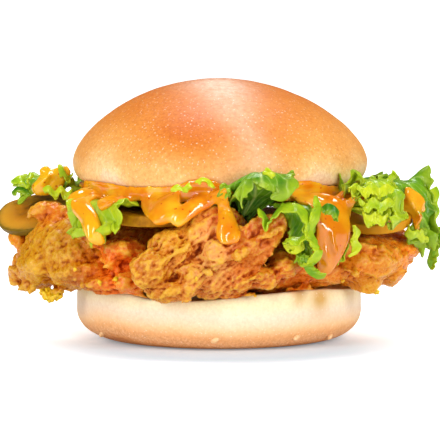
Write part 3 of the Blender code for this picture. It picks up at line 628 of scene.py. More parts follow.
for v, rise, normal in zip(fillet.data.vertices, relief, normals):
    v.co += normal * rise
    low, high = fillet_limits(v.co.x, v.co.y)
    v.co.z += under_fillet(v.co.x, v.co.y) * (1 - smooth_step(15 * MM, 36 * MM, v.co.z))
    v.co.z = min(high, max(low + 0.25 * MM * noise.noise(v.co * feature(3)), v.co.z))
    v.co = pressed_down(v.co, CRUST_GAP)
keep_largest(fillet)
stored(fillet.data, "crest", standing_out(fillet.data, 4))
stored(fillet.data, "bulge", standing_out(fillet.data, 45))

# How the frying left each place: its centre and reach in millimetres, and its colour
FRYING = (
    ((-58, -30, 30), 16, "#cf930e"),  # the left lobe, golden
    ((-70, -8, 34), 4, "#f0860c"),
    ((-56, -20, 45), 7, "#e2801c"),  # its crest
    ((-47, -42, 36), 6, "#c8540e"),
    ((-36, -44, 28), 11, "#f47a1a"),  # the hollow, oily and red
    ((-31, -44, 38), 7, "#cc5c14"),
    ((-50, -40, 20), 8, "#a6560a"),
    ((-22, -56, 26), 9, "#c87e1a"),  # the nose
    ((-14, -54, 40), 8, "#dc9626"),
    ((-5, -56, 38), 6, "#e8a258"),  # the fold, where the batter stayed thin and pink
    ((-2, -56, 31), 5, "#e8a85c"),
    ((5, -55, 47), 7, "#d85c14"),
    ((13, -58, 32), 11, "#cc7218"),  # the fin
    ((20, -48, 22), 10, "#d46a14"),  # below the fin
    ((34, -46, 24), 9, "#e07818"),
    ((46, -38, 27), 12, "#e08618"),  # the right end
    ((54, -28, 20), 9, "#e29c1e"),
    ((66, -14, 33), 8, "#f68c10"),
    ((0, 45, 30), 30, "#d6821e"),  # the far side
    ((-50, 20, 30), 20, "#d27a22"),
    ((50, 20, 30), 20, "#dc8a24"),
)
points = points_of(fillet.data) / MM
weights = [1 / (0.02 + (((points - c) ** 2).sum(1) / r**2) ** 1.5) for c, r, _ in FRYING]
total = sum(weights)
tints = sum(w[:, None] * np.array(hex_colour(code)) for w, (_, _, code) in zip(weights, FRYING))
tint_layer = fillet.data.attributes.new("tint", "FLOAT_COLOR", "POINT")
tint_layer.data.foreach_set("color", (tints / total[:, None]).astype(np.float32).ravel())
alone(fillet)
bpy.ops.object.shade_smooth()

material, tree, shader = new_material("deep_fried_batter")
place = add_node(tree, "TexCoord").outputs["Object"]
crest = add_node(tree, "Attribute", {"attribute_name": "crest"}).outputs["Fac"]
bulge = add_node(tree, "Attribute", {"attribute_name": "bulge"}).outputs["Fac"]
grit = add_node(
    tree, "TexNoise", {"Scale": feature(0.9), "Detail": 3.0, "Roughness": 0.7}, {"Vector": place}
)
crest_share = add_node(tree, "MapRange", {1: -0.3, 2: 0.3}, {0: crest})
bulge_share = add_node(tree, "MapRange", {1: -1.5, 2: 1.3}, {0: bulge})
both = add_node(
    tree,
    "Mix",
    {"data_type": "FLOAT", 0: 0.5},
    {2: crest_share.outputs["Result"], 3: bulge_share.outputs["Result"]},
)
gritty = add_node(
    tree,
    "Mix",
    {"data_type": "FLOAT", 0: 0.3},
    {2: both.outputs[0], 3: grit.outputs["Fac"]},
)
# Painted shade: going by crest and bulge, the creases and hollows are darkened to red-brown, while the crests keep
# their tint.
shade = add_node(
    tree,
    "ValToRGB",
    {"stops": ((0.16, "#7c3c1c"), (0.33, "#c48c60"), (0.47, "#fae6d0"), (0.6, "#ffffff"))},
    {0: gritty.outputs[0]},
)
tint = add_node(tree, "Attribute", {"attribute_name": "tint"}).outputs["Color"]
shaded = add_node(
    tree,
    "Mix",
    {"data_type": "RGBA", "blend_type": "MULTIPLY", 0: 1.0},
    {6: tint, 7: shade.outputs["Color"]},
)
dry = add_node(tree, "MapRange", {1: 0.56, 2: 0.8, 3: 0.0, 4: 0.7}, {0: gritty.outputs[0]})
batter = add_node(
    tree,
    "Mix",
    {"data_type": "RGBA", 7: hex_colour("#e6b22c")},
    {0: dry.outputs["Result"], 6: shaded.outputs[2]},
)
tree.links.new(shader.inputs["Base Color"], batter.outputs[2])
oil = add_node(tree, "MapRange", {1: 0.3, 2: 0.7, 3: 0.18, 4: 0.38}, {0: grit.outputs["Fac"]})
tree.links.new(shader.inputs["Roughness"], oil.outputs["Result"])
wrinkles = add_node(
    tree,
    "TexNoise",
    {"noise_type": "RIDGED_MULTIFRACTAL", "Scale": feature(2.0), "Detail": 2.0, "Roughness": 0.5},
    {"Vector": place},
)
coarse = add_node(tree, "Bump", {"Strength": 0.35, "Distance": 0.25 * MM}, {"Height": wrinkles.outputs["Fac"]})
bump = add_node(
    tree,
    "Bump",
    {"Strength": 0.7, "Distance": 0.35 * MM},
    {"Height": grit.outputs["Fac"], "Normal": coarse.outputs["Normal"]},
)
tree.links.new(shader.inputs["Normal"], bump.outputs["Normal"])
shine = add_node(tree, "MapRange", {1: 0.3, 2: 0.6, 3: 0.05, 4: 0.38}, {0: gritty.outputs[0]})
tree.links.new(shader.inputs["Specular IOR Level"], shine.outputs["Result"])
shader.inputs["Subsurface Weight"].default_value = 0.12
shader.inputs["Subsurface Radius"].default_value = (1.0, 0.45, 0.12)
shader.inputs["Subsurface Scale"].default_value = 1.5 * MM
fillet.data.materials.append(material)
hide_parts("chicken_fillet")
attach(fillet, "root")



def surface_of(objects):
    """One search tree over these objects."""
    builder = bmesh.new()
    for obj in objects:
        builder.from_mesh(obj.data)
    tree = BVHTree.FromBMesh(builder)
    builder.free()
    return tree


# Crumbs of batter that broke off in the oil and stuck to the fillet's under edge and its folds, bright
# yellow because no meat juice reached them. Each as (x, y, z, size) in millimetres, before it is stuck on
CRUMBS = (
    *((-61, -24, 17.5, 1.3), (-58.6, -25, 17, 1.9), (-56.4, -26, 16.6, 1.7), (-54.4, -26, 18, 1.2)),
    *((55.9, -27, 17.4, 1.0), (44, -38, 18.4, 0.6), (36.6, -48, 24.5, 0.9), (12, -50, 18.6, 0.6)),
    *((-8, -60, 27, 0.6), (-38, -50, 26, 1.0), (-40.5, -50, 24, 0.8), (-48, -42, 30, 0.6)),
    *((20, 48, 20, 0.9), (-12, 52, 22, 0.8), (-48, 32, 19, 1.0), (46, 34, 20, 0.8), (62, 12, 24, 0.7)),
)
fillet_tree = surface_of([fillet])
builder = bmesh.new()
for x, y, z, size in CRUMBS:
    stuck, normal, _, _ = fillet_tree.find_nearest(Vector((x, y, z)) * MM)
    seat = stuck / MM + normal * size * 0.2
    first = len(builder.verts)
    add_lump(builder, seat, (size * 1.2, size * 0.7, size * 0.9), [chance.uniform(0, 180) for _ in range(3)])
    builder.verts.ensure_lookup_table()
    for vert in builder.verts[first:]:
        out = vert.co - seat * MM
        vert.co = seat * MM + out * (1 + 0.9 * noise.fractal(vert.co * feature(1.1), 0.6, 2.0, 3))
mesh = bpy.data.meshes.new("batter_crumbs")
builder.to_mesh(mesh)
builder.free()
crumbs = placed("batter_crumbs", mesh)
bpy.ops.object.shade_smooth()
material, tree, shader = new_material("fried_crumbs")
place = add_node(tree, "TexCoord").outputs["Object"]
grit = add_node(tree, "TexNoise", {"Scale": feature(0.7), "Detail": 2.0}, {"Vector": place})
tone = add_node(tree, "ValToRGB", {"stops": ((0.3, "#e6a410"), (0.6, "#f6d41c"))}, {0: grit.outputs["Fac"]})
tree.links.new(shader.inputs["Base Color"], tone.outputs["Color"])
shader.inputs["Roughness"].default_value = 0.4
crumbs.data.materials.append(material)
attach(crumbs, "root")

# The gherkin slices: cut thick across, soaked in spiced vinegar. The skin is a dark olive band with warts,
# the flesh is glassy and yellow green, with a paler ring and flat seeds round its middle.

GHERKIN_CREASE = 45.2 * MM  # the left slice is bent along this height; above it, its brown skin colour is painted on, partly as painted shade


def slice_outline():
    half = PICKLE_THICKNESS / 2
    outline = across_to(0, PICKLE_RADIUS - PICKLE_EDGE, half, 22)
    for turn in range(15, 90, 15):
        angle = math.radians(turn)
        outline.append(
            (
                PICKLE_RADIUS - PICKLE_EDGE * (1 - math.sin(angle)),
                half - PICKLE_EDGE * (1 - math.cos(angle)),
            )
        )
    outline += [(PICKLE_RADIUS, half - PICKLE_EDGE), (PICKLE_RADIUS, 0)]
    return outline + [(r, -z) for r, z in reversed(outline[:-1])]


material, tree, shader = new_material("pickled_gherkin")
place = add_node(tree, "TexCoord").outputs["Object"]
share = add_node(tree, "Attribute", {"attribute_name": "out_share"}).outputs["Fac"]
cloudy = add_node(
    tree, "TexNoise", {"Scale": feature(2.6), "Detail": 4.0, "Roughness": 0.6}, {"Vector": place}
)
mixed = add_node(
    tree, "Mix", {"data_type": "FLOAT", 0: 0.1}, {2: share, 3: cloudy.outputs["Fac"]}
)
flesh = add_node(
    tree,
    "ValToRGB",
    {
        "stops": (
            (0.0, "#cc7e0c"),
            (0.35, "#bc7008"),
            (0.6, "#d0880c"),
            (0.8, "#cc8e14"),
            (0.87, "#b88214"),
            (0.91, "#84660e"),
            (1.0, "#5e4c0c"),
        )
    },
    {0: mixed.outputs[0]},
)
# Painted shade: this share lays the brown skin colour over the left slice's upper face and all of the front slice,
# where they lie in shade.
skin_height = add_node(tree, "Attribute", {"attribute_name": "skin"}).outputs["Fac"]
skin = add_node(tree, "MapRange", {1: -0.15, 2: 0.25}, {0: skin_height}).outputs["Result"]
mottled = add_node(
    tree,
    "ValToRGB",
    {"stops": ((0.3, "#9a620c"), (0.5, "#b87c0e"), (0.72, "#cc9812"))},
    {0: cloudy.outputs["Fac"]},
)
peel = add_node(
    tree,
    "Mix",
    {"data_type": "RGBA"},
    {0: skin, 6: flesh.outputs["Color"], 7: mottled.outputs["Color"]},
)
tree.links.new(shader.inputs["Base Color"], peel.outputs[2])
bump = add_node(tree, "Bump", {"Strength": 0.3, "Distance": 0.4 * MM}, {"Height": cloudy.outputs["Fac"]})
tree.links.new(shader.inputs["Normal"], bump.outputs["Normal"])
shader.inputs["Roughness"].default_value = 0.4
shader.inputs["Specular IOR Level"].default_value = 0.12
shader.inputs["Subsurface Weight"].default_value = 0.15
shader.inputs["Subsurface Radius"].default_value = (1.0, 0.7, 0.15)
shader.inputs["Subsurface Scale"].default_value = 3 * MM
pickled = material
slices = []
for node, centre, lean in PICKLES:
    gherkin = turned(node.replace("pickle", "gherkin_slice"), slice_outline(), 96)
    share = [math.hypot(v.co.x, v.co.y) / PICKLE_RADIUS for v in gherkin.data.vertices]
    turn = Euler((math.radians(lean[0]), math.radians(lean[1]), 0)).to_matrix().to_4x4()
    for v, out in zip(gherkin.data.vertices, share):
        around = v.co.normalized() * 1.3 + Vector(centre)
        v.co.xy *= 1 + 0.05 * noise.noise(around) + 0.012 * out**8 * noise.noise(v.co * feature(2.2))
        v.co.z *= 1 - 0.22 * math.exp(-(((out - 0.45) / 0.16) ** 2)) * (0.6 + noise.noise(v.co * feature(2.5)))
        v.co.z += 0.5 * MM * noise.noise(v.co * feature(14) + Vector(centre))
    if node == "pickle_right":
        share = [0.8 * out for out in share]  # peeled
    stored(gherkin.data, "out_share", share)
    gherkin.data.transform(Matrix.Translation(Vector(centre) * MM) @ turn)
    if node == "pickle_left":
        for v in gherkin.data.vertices:
            below = GHERKIN_CREASE - v.co.z
            v.co.z += 0.3 * max(0.0, below) - 0.55 * max(0.0, -below)
            v.co.y += 0.3 * max(0.0, -below) - 0.25 * max(0.0, below)
    faced = {"pickle_left": 0, "pickle_front": 9}.get(node, -9)  # the front one is painted all over in brown skin colour, as painted shade
    skin = [(v.co.z - GHERKIN_CREASE) / MM if faced == 0 else faced for v in gherkin.data.vertices]
    stored(gherkin.data, "skin", skin)
    gherkin.data.materials.append(pickled)
    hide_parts(node)
    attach(gherkin, "root")
    slices.append(gherkin)

# The lettuce: torn leaves of green frillice. Each leaf starts flat under the upper bun, bends over the
# fillet and ends in a rim that grew longer than the leaf, so it ruffles. It is thin, so light glows in it.

LOW, MID, HIGH = 48.3, 49.6, 50.9
LEAF_THICKNESS = 0.5 * MM
LEAF_ROWS = 96
LEAF_COLUMNS = 72
LEAF_TIP = 0.45  # the share of its length from which the leaf rounds off
LEAF_TEETH = 2.7  # millimetres from tooth to tooth
LEAF_CLEARANCE = 0.75 * MM

# Each leaf: its node, its heading in degrees, its spine as (out, sideways, up) and half width in millimetres,
# the waves round its rim and their depth, the twist of its tip, how far its sides droop, and its darkness
LEAVES = (
    (
        "leaf_left",
        224,
        ((28, 0, LOW), (42, 0, LOW), (50, 0, 50), (57.5, 1, 49.5), (61, 3, 44.5), (62.5, 4, 38.5)),
        *(12.5, 7, 2.0, 0, (0, 0), 0.3),
    ),
    (
        "leaf_far_left",
        178,
        ((28, 0, HIGH), (42, 0, HIGH), (50, -2, 52.5), (56, -3, 54.5), (63, -4, 54.5), (69, -5, 51)),
        *(11.5, 7, 2.8, 0, (0, 2), 0.5),
    ),
    (
        "leaf_front",
        -77,
        (
            *((30, 1, HIGH), (43, 1, HIGH), (51, 0, 53), (54.5, 0, 58.5)),
            *((57.5, 0, 61.6), (61, 0, 60.4), (62.3, -1, 57.5)),
        ),
        *(12.5, 4, 0.9, 0, (9, 2), 0.8),
    ),
    (
        "leaf_curl",
        -64,
        (
            *((30, -2, MID), (44, -2, MID), (52, -2, 50.2), (58.5, 0, 48.5)),
            *((61.5, 1, 44), (61, 0, 38), (61.5, 1, 31)),
        ),
        *(4.6, 5, 1.4, 15, (0, 0), 0.7),
    ),
    (
        "leaf_under_sauce",
        -48,
        ((30, 0, LOW), (43, 0, LOW), (50, 0, 48), (54.5, 0, 44.5), (56.5, 0, 38), (57.5, 0, 31)),
        *(8.0, 6, 1.2, 0, (0, 0), 0.25),
    ),
    (
        "leaf_right",
        -60,
        (
            *((16, 22, HIGH), (31, 24, HIGH), (44, 26, 53), (52, 27, 57)),
            *((58, 27.5, 56.5), (62, 27, 51.5), (62.6, 26, 45)),
        ),
        *(8.6, 8, 3.4, 0, (1, 1), 0.35),
    ),
    (
        "leaf_far_right",
        -50,
        (
            *((8, 28, MID), (24, 32, MID), (38, 37, 52.5), (48, 39.5, 55)),
            *((54, 41, 53), (57, 42, 46.5), (57.5, 43.5, 40), (57.5, 46, 33)),
        ),
        *(8.0, 7, 2.8, -20, (0, 0), 0.7),
    ),
    (
        "leaf_right_back",
        16,
        ((30, 2, HIGH), (43, 2, HIGH), (52, 2, 52), (58, 2, 54), (63, 2, 54), (66, 2, 49.5)),
        *(11.0, 6, 2.0, 0, (2, 2), 0.75),
    ),
    (
        "leaf_back_right",
        58,
        ((30, 0, MID), (43, 0, MID), (52, 0, 52), (59, 0, 50), (62, 1, 43), (63, 1, 35)),
        *(13.0, 7, 2.3, 10, (0, 0), 0.4),
    ),
    (
        "leaf_back",
        98,
        ((30, 0, HIGH), (43, 0, HIGH), (52, 0, 54), (58, 1, 58), (64, 1, 56), (67, 2, 49)),
        *(13.0, 7, 2.3, -10, (2, 0), 0.3),
    ),
    (
        "leaf_back_left",
        138,
        ((30, 0, MID), (43, 0, MID), (52, 0, 51.5), (60, 0, 48), (63, 1, 41), (64, 2, 34)),
        *(13.0, 7, 2.3, 8, (0, 0), 0.5),
    ),
)


def leaf_points(heading, spine, half_width, waves, depth, twist, droop):
    """The middle surface of a leaf, with how near each point is to the rim and to a vein.

    Inwards the leaf is a plain blade. Its rim grew about twice as long as the blade, so it winds to and fro
    in large and in small frills, with teeth between them.
    """
    turn = math.radians(heading)
    outward = Vector((math.cos(turn), math.sin(turn), 0))
    sideways = Vector((-math.sin(turn), math.cos(turn), 0))
    points = [outward * o * MM + sideways * s * MM + Vector((0, 0, u * MM)) for o, s, u in spine]
    length = sum((b - a).length for a, b in zip(points, points[1:])) / MM
    phase = heading * 0.7
    wave = math.pi * half_width / (0.75 * waves)
    verts, rims, veins = [], [], []
    for row in range(LEAF_ROWS + 1):
        share = row / LEAF_ROWS
        centre = through(points, share)
        tangent = (through(points, min(1, share + 0.02)) - through(points, max(0, share - 0.02))).normalized()
        lean = math.radians(twist) * smooth_step(0.35, 1.0, share)
        across = (Matrix.Rotation(lean, 3, tangent) @ sideways).normalized()
        across = (across - tangent * across.dot(tangent)).normalized()
        facing = across.cross(tangent).normalized()
        spread = 0.5 + 0.5 * smooth_step(0.1, 0.55, share)
        tip = (share - LEAF_TIP) / (1 - LEAF_TIP)
        round_off = math.sqrt(1 - 0.72 * max(0.0, tip) ** 3)
        for column in range(LEAF_COLUMNS + 1):
            side = 2 * column / LEAF_COLUMNS - 1
            if tip > 0:
                near_rim = (side**4 + tip**4) ** 0.25
                along = math.atan2(side, tip) * half_width
                out_side = side / max(1e-6, math.hypot(side, tip))
                out_tip = tip / max(1e-6, math.hypot(side, tip))
            else:
                near_rim = abs(side)
                run = math.pi / 2 * half_width - tip * (1 - LEAF_TIP) * length
                along = math.copysign(run, side)
                out_side, out_tip = math.copysign(1, side), 0
            fade = smooth_step(0.22, 0.45, share)
            rim = smooth_step(0.5, 1.0, near_rim) * fade
            edge = smooth_step(0.72, 1.0, near_rim) * fade
            tooth = smooth_step(0.84, 1.0, near_rim) * fade
            jitter = noise.noise(Vector((side * 1.6, share * 2.6, phase)))
            large = math.tau * along / wave + phase + 3 * jitter
            small = 2.4 * large + 2 * phase + 5 * jitter
            swing = depth * (0.5 * rim + 0.45 * edge) * math.sin(large) + 0.4 * depth * edge * math.sin(small)
            slide = -0.13 * wave * edge * math.sin(2 * large) - 0.05 * wave * edge * math.sin(2 * small)
            reach = 0.12 * half_width * rim * math.cos(0.6 * large) + 0.7 * edge * math.sin(small)
            reach *= min(1.0, depth / 2.2)
            notch = 2 * abs((along / LEAF_TEETH + 2 * jitter) % 1 - 0.5)
            reach += min(2.6, 1.3 * depth) * tooth * (0.5 - notch) * (0.8 + 1.2 * jitter)
            drop = droop[0] if side < 0 else droop[1]
            point = centre + across * side * half_width * MM * spread * round_off
            point += (across * out_side + tangent * out_tip) * reach * MM
            point += (tangent * abs(out_side) - across * out_tip * math.copysign(1, side)) * slide * MM
            point += facing * swing * MM
            point += noise.noise_vector(point * feature(6.5)) * depth * 1.3 * rim * MM
            point += noise.noise_vector(point * feature(3.1)) * depth * 0.95 * edge * MM
            point.z -= drop * MM * side**2 * smooth_step(0.3, 0.8, share)
            branch = abs((share * 9 - abs(side) * 3.2) % 1 - 0.5)
            vein = max(math.exp(-((side / 0.05) ** 2)), 0.7 * math.exp(-(((0.5 - branch) / 0.07) ** 2)))
            point += facing * (vein * 0.25 + 0.35 * noise.noise(point * feature(4))) * MM
            verts.append(point)
            rims.append(edge)
            veins.append(vein)
    return verts, rims, veins


def pushed_clear(point, tree, clearance):
    """The point, moved out of the pieces of the tree where it is in one or nearer than the clearance."""
    for _ in range(4):
        near, normal, _, distance = tree.find_nearest(point)
        inside = (point - near).dot(normal) < 0 and distance < 14 * MM
        if not inside and distance >= clearance:
            break
        away = normal if inside or distance < 1e-6 else (point - near).normalized()
        point = near + away * (clearance + 0.02 * MM)
    return point


def laid_leaf(name, verts, rims, veins, darkness, around, columns):
    """A leaf laid over the pieces round it, evened out a little where it was pushed, and given its thickness."""
    tree = surface_of(around)
    width = columns + 1
    faces = [
        (r * width + c, r * width + c + 1, (r + 1) * width + c + 1, (r + 1) * width + c)
        for r in range(len(verts) // width - 1)
        for c in range(columns)
    ]
    mesh = bpy.data.meshes.new(name)
    mesh.from_pydata([pushed_clear(v, tree, LEAF_CLEARANCE) for v in verts], [], faces)
    eased = settled(mesh, points_of(mesh), 1)
    mesh.vertices.foreach_set("co", eased.ravel())
    stored(mesh, "rim", rims)
    stored(mesh, "vein", veins)
    stored(mesh, "darkness", [darkness] * len(verts))
    leaf = placed(name, mesh)
    applied(leaf, "SOLIDIFY", thickness=LEAF_THICKNESS, offset=0)
    bpy.ops.object.shade_smooth()
    return leaf


material, tree, shader = new_material("fresh_lettuce")
place = add_node(tree, "TexCoord").outputs["Object"]
rim = add_node(tree, "Attribute", {"attribute_name": "rim"}).outputs["Fac"]
vein = add_node(tree, "Attribute", {"attribute_name": "vein"}).outputs["Fac"]
darkness = add_node(tree, "Attribute", {"attribute_name": "darkness"}).outputs["Fac"]
patches = add_node(
    tree, "TexNoise", {"Scale": feature(5), "Detail": 4.0, "Roughness": 0.6}, {"Vector": place}
)
swing = add_node(tree, "MapRange", {1: 0.3, 2: 0.7, 3: -0.25, 4: 0.25}, {0: patches.outputs["Fac"]})
tone = add_node(tree, "Math", {"operation": "ADD"}, {0: darkness, 1: swing.outputs["Result"]})
green = add_node(
    tree,
    "ValToRGB",
    {
        "stops": (
            (0.0, "#c6d020"),
            (0.3, "#a2be18"),
            (0.6, "#74a416"),
            (1.0, "#357510"),
        )
    },
    {0: tone.outputs[0]},
)
vein_share = add_node(tree, "Math", {"operation": "MULTIPLY", 1: 0.55}, {0: vein})
veined = add_node(
    tree,
    "Mix",
    {"data_type": "RGBA", 7: hex_colour("#c9da74")},
    {0: vein_share.outputs[0], 6: green.outputs["Color"]},
)
rim_share = add_node(tree, "Math", {"operation": "MULTIPLY", 1: 0.4}, {0: rim})
edged = add_node(
    tree,
    "Mix",
    {"data_type": "RGBA", 7: hex_colour("#bccb1e")},
    {0: rim_share.outputs[0], 6: veined.outputs[2]},
)
tree.links.new(shader.inputs["Base Color"], edged.outputs[2])
cells = add_node(
    tree, "TexNoise", {"Scale": feature(1.4), "Detail": 3.0, "Roughness": 0.6}, {"Vector": place}
)
bump = add_node(tree, "Bump", {"Strength": 0.35, "Distance": 0.3 * MM}, {"Height": cells.outputs["Fac"]})
tree.links.new(shader.inputs["Normal"], bump.outputs["Normal"])
shader.inputs["Roughness"].default_value = 0.28
shader.inputs["Specular IOR Level"].default_value = 0.3
shader.inputs["Subsurface Weight"].default_value = 0.22
shader.inputs["Subsurface Radius"].default_value = (0.8, 0.9, 0.2)
shader.inputs["Subsurface Scale"].default_value = 1.2 * MM
lettuce = material
leaves = []
for node, heading, spine, half_width, waves, depth, twist, droop, darkness in LEAVES:
    verts, rims, veins = leaf_points(heading, spine, half_width, waves, depth, twist, droop)
    around = [heel, fillet, *slices, *leaves]
    leaf = laid_leaf(node.replace("leaf", "lettuce"), verts, rims, veins, darkness, around, LEAF_COLUMNS)
    leaf.data.materials.append(lettuce)
    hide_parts(node)
    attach(leaf, "root")
    leaves.append(leaf)

# The sauce: a thick chilli mayonnaise, spread on the cut face of the upper bun and poured over the filling.
# It hangs in drops and streams, rounded at their edges, glossy, with red flecks of chilli in it.

SAUCE_LOW = 51.9 * MM
SAUCE_HIGH = 54.25 * MM
SAUCE_RADIUS = 49.4 * MM
SAUCE_VOXEL = 0.53 * MM
SAUCE_SLACK = 2.5 * MM

# Each run: its stations as (x, y, z, half width, half thickness) in millimetres
SAUCE_RUNS = (
    (
        *((-34, -24, 53, 6, 1.2), (-44, -28, 51.5, 5.5, 1.8), (-46, -34, 48.8, 3.4, 1.8)),
        *((-43.5, -43, 44.5, 3.4, 2.2), (-42, -48, 39.5, 3.2, 2.4), (-42, -49, 36.5, 1.6, 1.4)),
    ),
    ((-28, -34, 53, 6, 1.2), (-36, -38, 52, 4.5, 1.7), (-35, -45, 47.5, 3.4, 1.6)),
    ((-38, -26, 53.5, 4, 1.2), (-46, -28, 53, 3.6, 2.0), (-50.5, -29, 51, 3.0, 2.4), (-52, -29, 48.5, 2.2, 1.9)),
    (
        *((-18, -42, 53, 8, 1.2), (-20.5, -47, 52.5, 7.5, 1.8)),
        *((-19.7, -52, 50, 6.4, 2.2), (-18.6, -56, 45.5, 3.8, 2.0)),
    ),
    (
        *((2, -42, 53, 4, 1.2), (0.9, -49, 53.6, 3.2, 1.6), (-6.8, -53, 51.6, 3.0, 2.0)),
        *((-13, -56, 47.7, 3.0, 2.0), (-16, -57, 44.6, 2.2, 1.6)),
    ),
    (
        *((0, -42, 53, 3, 1.2), (0.2, -50.5, 53.2, 2.2, 1.5), (0.9, -53, 51, 2.0, 1.7)),
        *((2.3, -55.5, 46, 3.2, 2.6), (2.8, -57, 40.5, 4.1, 3.2), (3.1, -57, 37.6, 2.2, 1.8)),
    ),
    (
        *((28, -34, 53, 8, 1.2), (32, -41, 53, 8.6, 1.8), (36.5, -46.5, 50, 8, 2.2), (39.2, -49, 43, 7.4, 2.2)),
        *((38, -50, 36, 6.2, 2.3), (36.6, -50.5, 30, 3.8, 2.3), (35.5, -50.5, 26, 1.8, 1.6)),
    ),
    (
        *((30, -30, 53, 6, 1.2), (35, -37, 53, 6, 1.7), (39.5, -42, 49.5, 5, 2.0)),
        *((41.5, -45, 43, 4.4, 2.0), (41.5, -46, 37.5, 2.4, 1.5)),
    ),
    (  # folds where it ran over itself
        *((33, -42, 52, 1.6, 3.0), (34.6, -47.5, 46.5, 1.8, 3.4), (36.6, -49.5, 41, 1.7, 3.5)),
        *((37.4, -50.2, 36.4, 1.5, 3.4), (39, -50, 33, 1.2, 3.2)),
    ),
    (
        *((34.4, -48.5, 42, 1.2, 3.2), (33.6, -50, 37.5, 1.6, 3.6), (35, -50.5, 32.5, 1.5, 3.5)),
        *((35.6, -50.6, 28.5, 1.2, 3.0),),
    ),
    ((31, -41, 52.4, 1.8, 3.0), (37, -43.5, 51.6, 1.8, 3.2), (42.4, -41.4, 48.6, 1.6, 3.2), (43.4, -42.5, 45, 1.2, 2.6)),
    (
        *((-14, 42, 53, 7, 1.2), (-16, 50, 52, 7, 1.9), (-18, 56, 48, 5, 2.2)),
        *((-18, 58, 42, 3.6, 2.2), (-18, 58, 38, 1.8, 1.5)),
    ),
    (
        *((30, 34, 53, 6, 1.2), (35, 39, 52.5, 6, 1.9), (40, 45, 49.5, 4.4, 2.0)),
        *((41, 47, 44, 3.4, 2.0), (41, 47, 40.5, 1.6, 1.4)),
    ),
)
SAUCE_SPOTS = (
    (
        "sauce_far_right",
        (
            *((64.6, -18, 53.4, 1.3, 1.5), (65.8, -20, 51, 3.2, 2.0), (66.6, -21, 48, 4.2, 2.2)),
            *((67.2, -21, 44.6, 2.2, 2.0), (67.6, -21, 41, 1.4, 1.8), (67.6, -20, 38.8, 1.1, 1.5)),
        ),
        (
            *((61.9, -19, 45.4, 1.1, 1.4), (64.6, -21, 47, 2.1, 2.0)),
            *((68.6, -20, 47, 2.2, 2.0), (71.6, -18, 45.8, 1.1, 1.4)),
        ),
    ),
    (
        "sauce_far_left",
        (
            *((-52.5, -8, 59.4, 1.6, 1.4), (-55.5, -8, 57.4, 3.0, 1.8), (-58.4, -8, 55, 4.2, 2.0)),
            *((-62, -9, 53.4, 3.4, 1.9), (-65.6, -9, 52.6, 1.6, 1.4)),
        ),
        ((-61.4, -7, 60, 1.6, 1.3), (-59.6, -8, 57.4, 2.6, 1.7), (-57.6, -9, 54.4, 2.6, 1.7), (-56.4, -10, 51.6, 1.4, 1.4)),
    ),
)
RUN_ROWS = 40
RUN_COLUMNS = 18

# The bun above, whose crust the sauce stands up against, and how high it stands, by angle in degrees
BUN_RADIUS = 51.2 * MM
CROWN_CUT_RADIUS = 47.6 * MM
CROWN_CUT_HEIGHT = 54.6 * MM
CROWN_EQUATOR_HEIGHT = 61.4 * MM
CROWN_UNDER = 0.93 * (CROWN_EQUATOR_HEIGHT - CROWN_CUT_HEIGHT) / math.sin(math.radians(80))
BURGER_HEIGHT = 89.8 * MM
BAND_TOPS = (
    (
        *((196, 54.8), (204, 56.4), (214, 56.7), (222, 56.4), (231, 55.6), (238, 55.8)),
        *((242, 56.2), (248, 56.2), (253, 57.0), (258, 58.6), (262, 59.4), (267, 59.2), (271, 57.5)),
    ),
    ((294, 56.8), (298, 57.9), (304, 58.0), (310, 57.4), (314, 56.0), (322, 55.2), (331, 54.6)),
    ((88, 54.2), (96, 56.0), (104, 55.2), (116, 56.6), (124, 54.4)),
    ((38, 54.4), (46, 55.8), (56, 55.0), (62, 54.2)),
)


def add_run(builder, stations, ground, forwards):
    """A flat rope of sauce through its stations. It lies on what the search tree of the ground holds.

    It faces outwards from the burger's middle, or forwards.
    """
    places = [Vector(s[:3]) * MM for s in stations]
    sizes = [Vector((s[3], s[4], 0)) * MM for s in stations]
    rows, rests = [], []
    for i in range(RUN_ROWS + 1):
        share = i / RUN_ROWS
        centre = through(places, share)
        size = through(sizes, share)
        ends = min(1.0, math.sqrt(max(0.0, 1 - ((share - 0.92) / 0.08) ** 2)) if share > 0.92 else 1.0)
        tangent = (through(places, min(1, share + 0.03)) - through(places, max(0, share - 0.03))).normalized()
        outward = Vector((0.2 * centre.x, -0.9, 0.4) if forwards else (centre.x, centre.y, 20 * MM)).normalized()
        across = outward.cross(tangent).normalized()
        facing = tangent.cross(across).normalized()
        if facing.dot(outward) < 0:
            facing = -facing
        row, rest = [], []
        for k in range(RUN_COLUMNS + 1):
            u = math.sin(math.pi * (k / RUN_COLUMNS - 0.5))
            place = centre + across * u * size.x * max(ends, 0.15)
            thick = size.y * math.sqrt(max(0.0, 1 - u * u)) * max(ends, 0.15)
            hit = ground.ray_cast(place + facing * 9 * MM, -facing, 9 * MM + SAUCE_SLACK)[0]
            row.append((place, facing, thick))
            rest.append(max((hit - place).dot(facing) if hit else -SAUCE_SLACK, -SAUCE_SLACK) + 0.35 * size.y)
        rows.append(row)
        rests.append(rest)
    rests = np.array(rests)
    for _ in range(5):
        padded = np.pad(rests, 1, mode="edge")
        around = padded[:-2, 1:-1] + padded[2:, 1:-1] + padded[1:-1, :-2] + padded[1:-1, 2:]
        rests = 0.4 * rests + 0.15 * around
    fronts = [[p + f * (r + t) for (p, f, t), r in zip(row, rest)] for row, rest in zip(rows, rests)]
    backs = [[p + f * (r - t) for (p, f, t), r in zip(row, rest)] for row, rest in zip(rows, rests)]
    grid = [[builder.verts.new(p) for p in (*front, *reversed(back))] for front, back in zip(fronts, backs)]
    for a, b in zip(grid, grid[1:]):
        for k in range(len(a)):
            n = (k + 1) % len(a)
            builder.faces.new((a[k], a[n], b[n], b[k]))
    for ring in (grid[0], grid[-1]):
        builder.faces.new(ring)


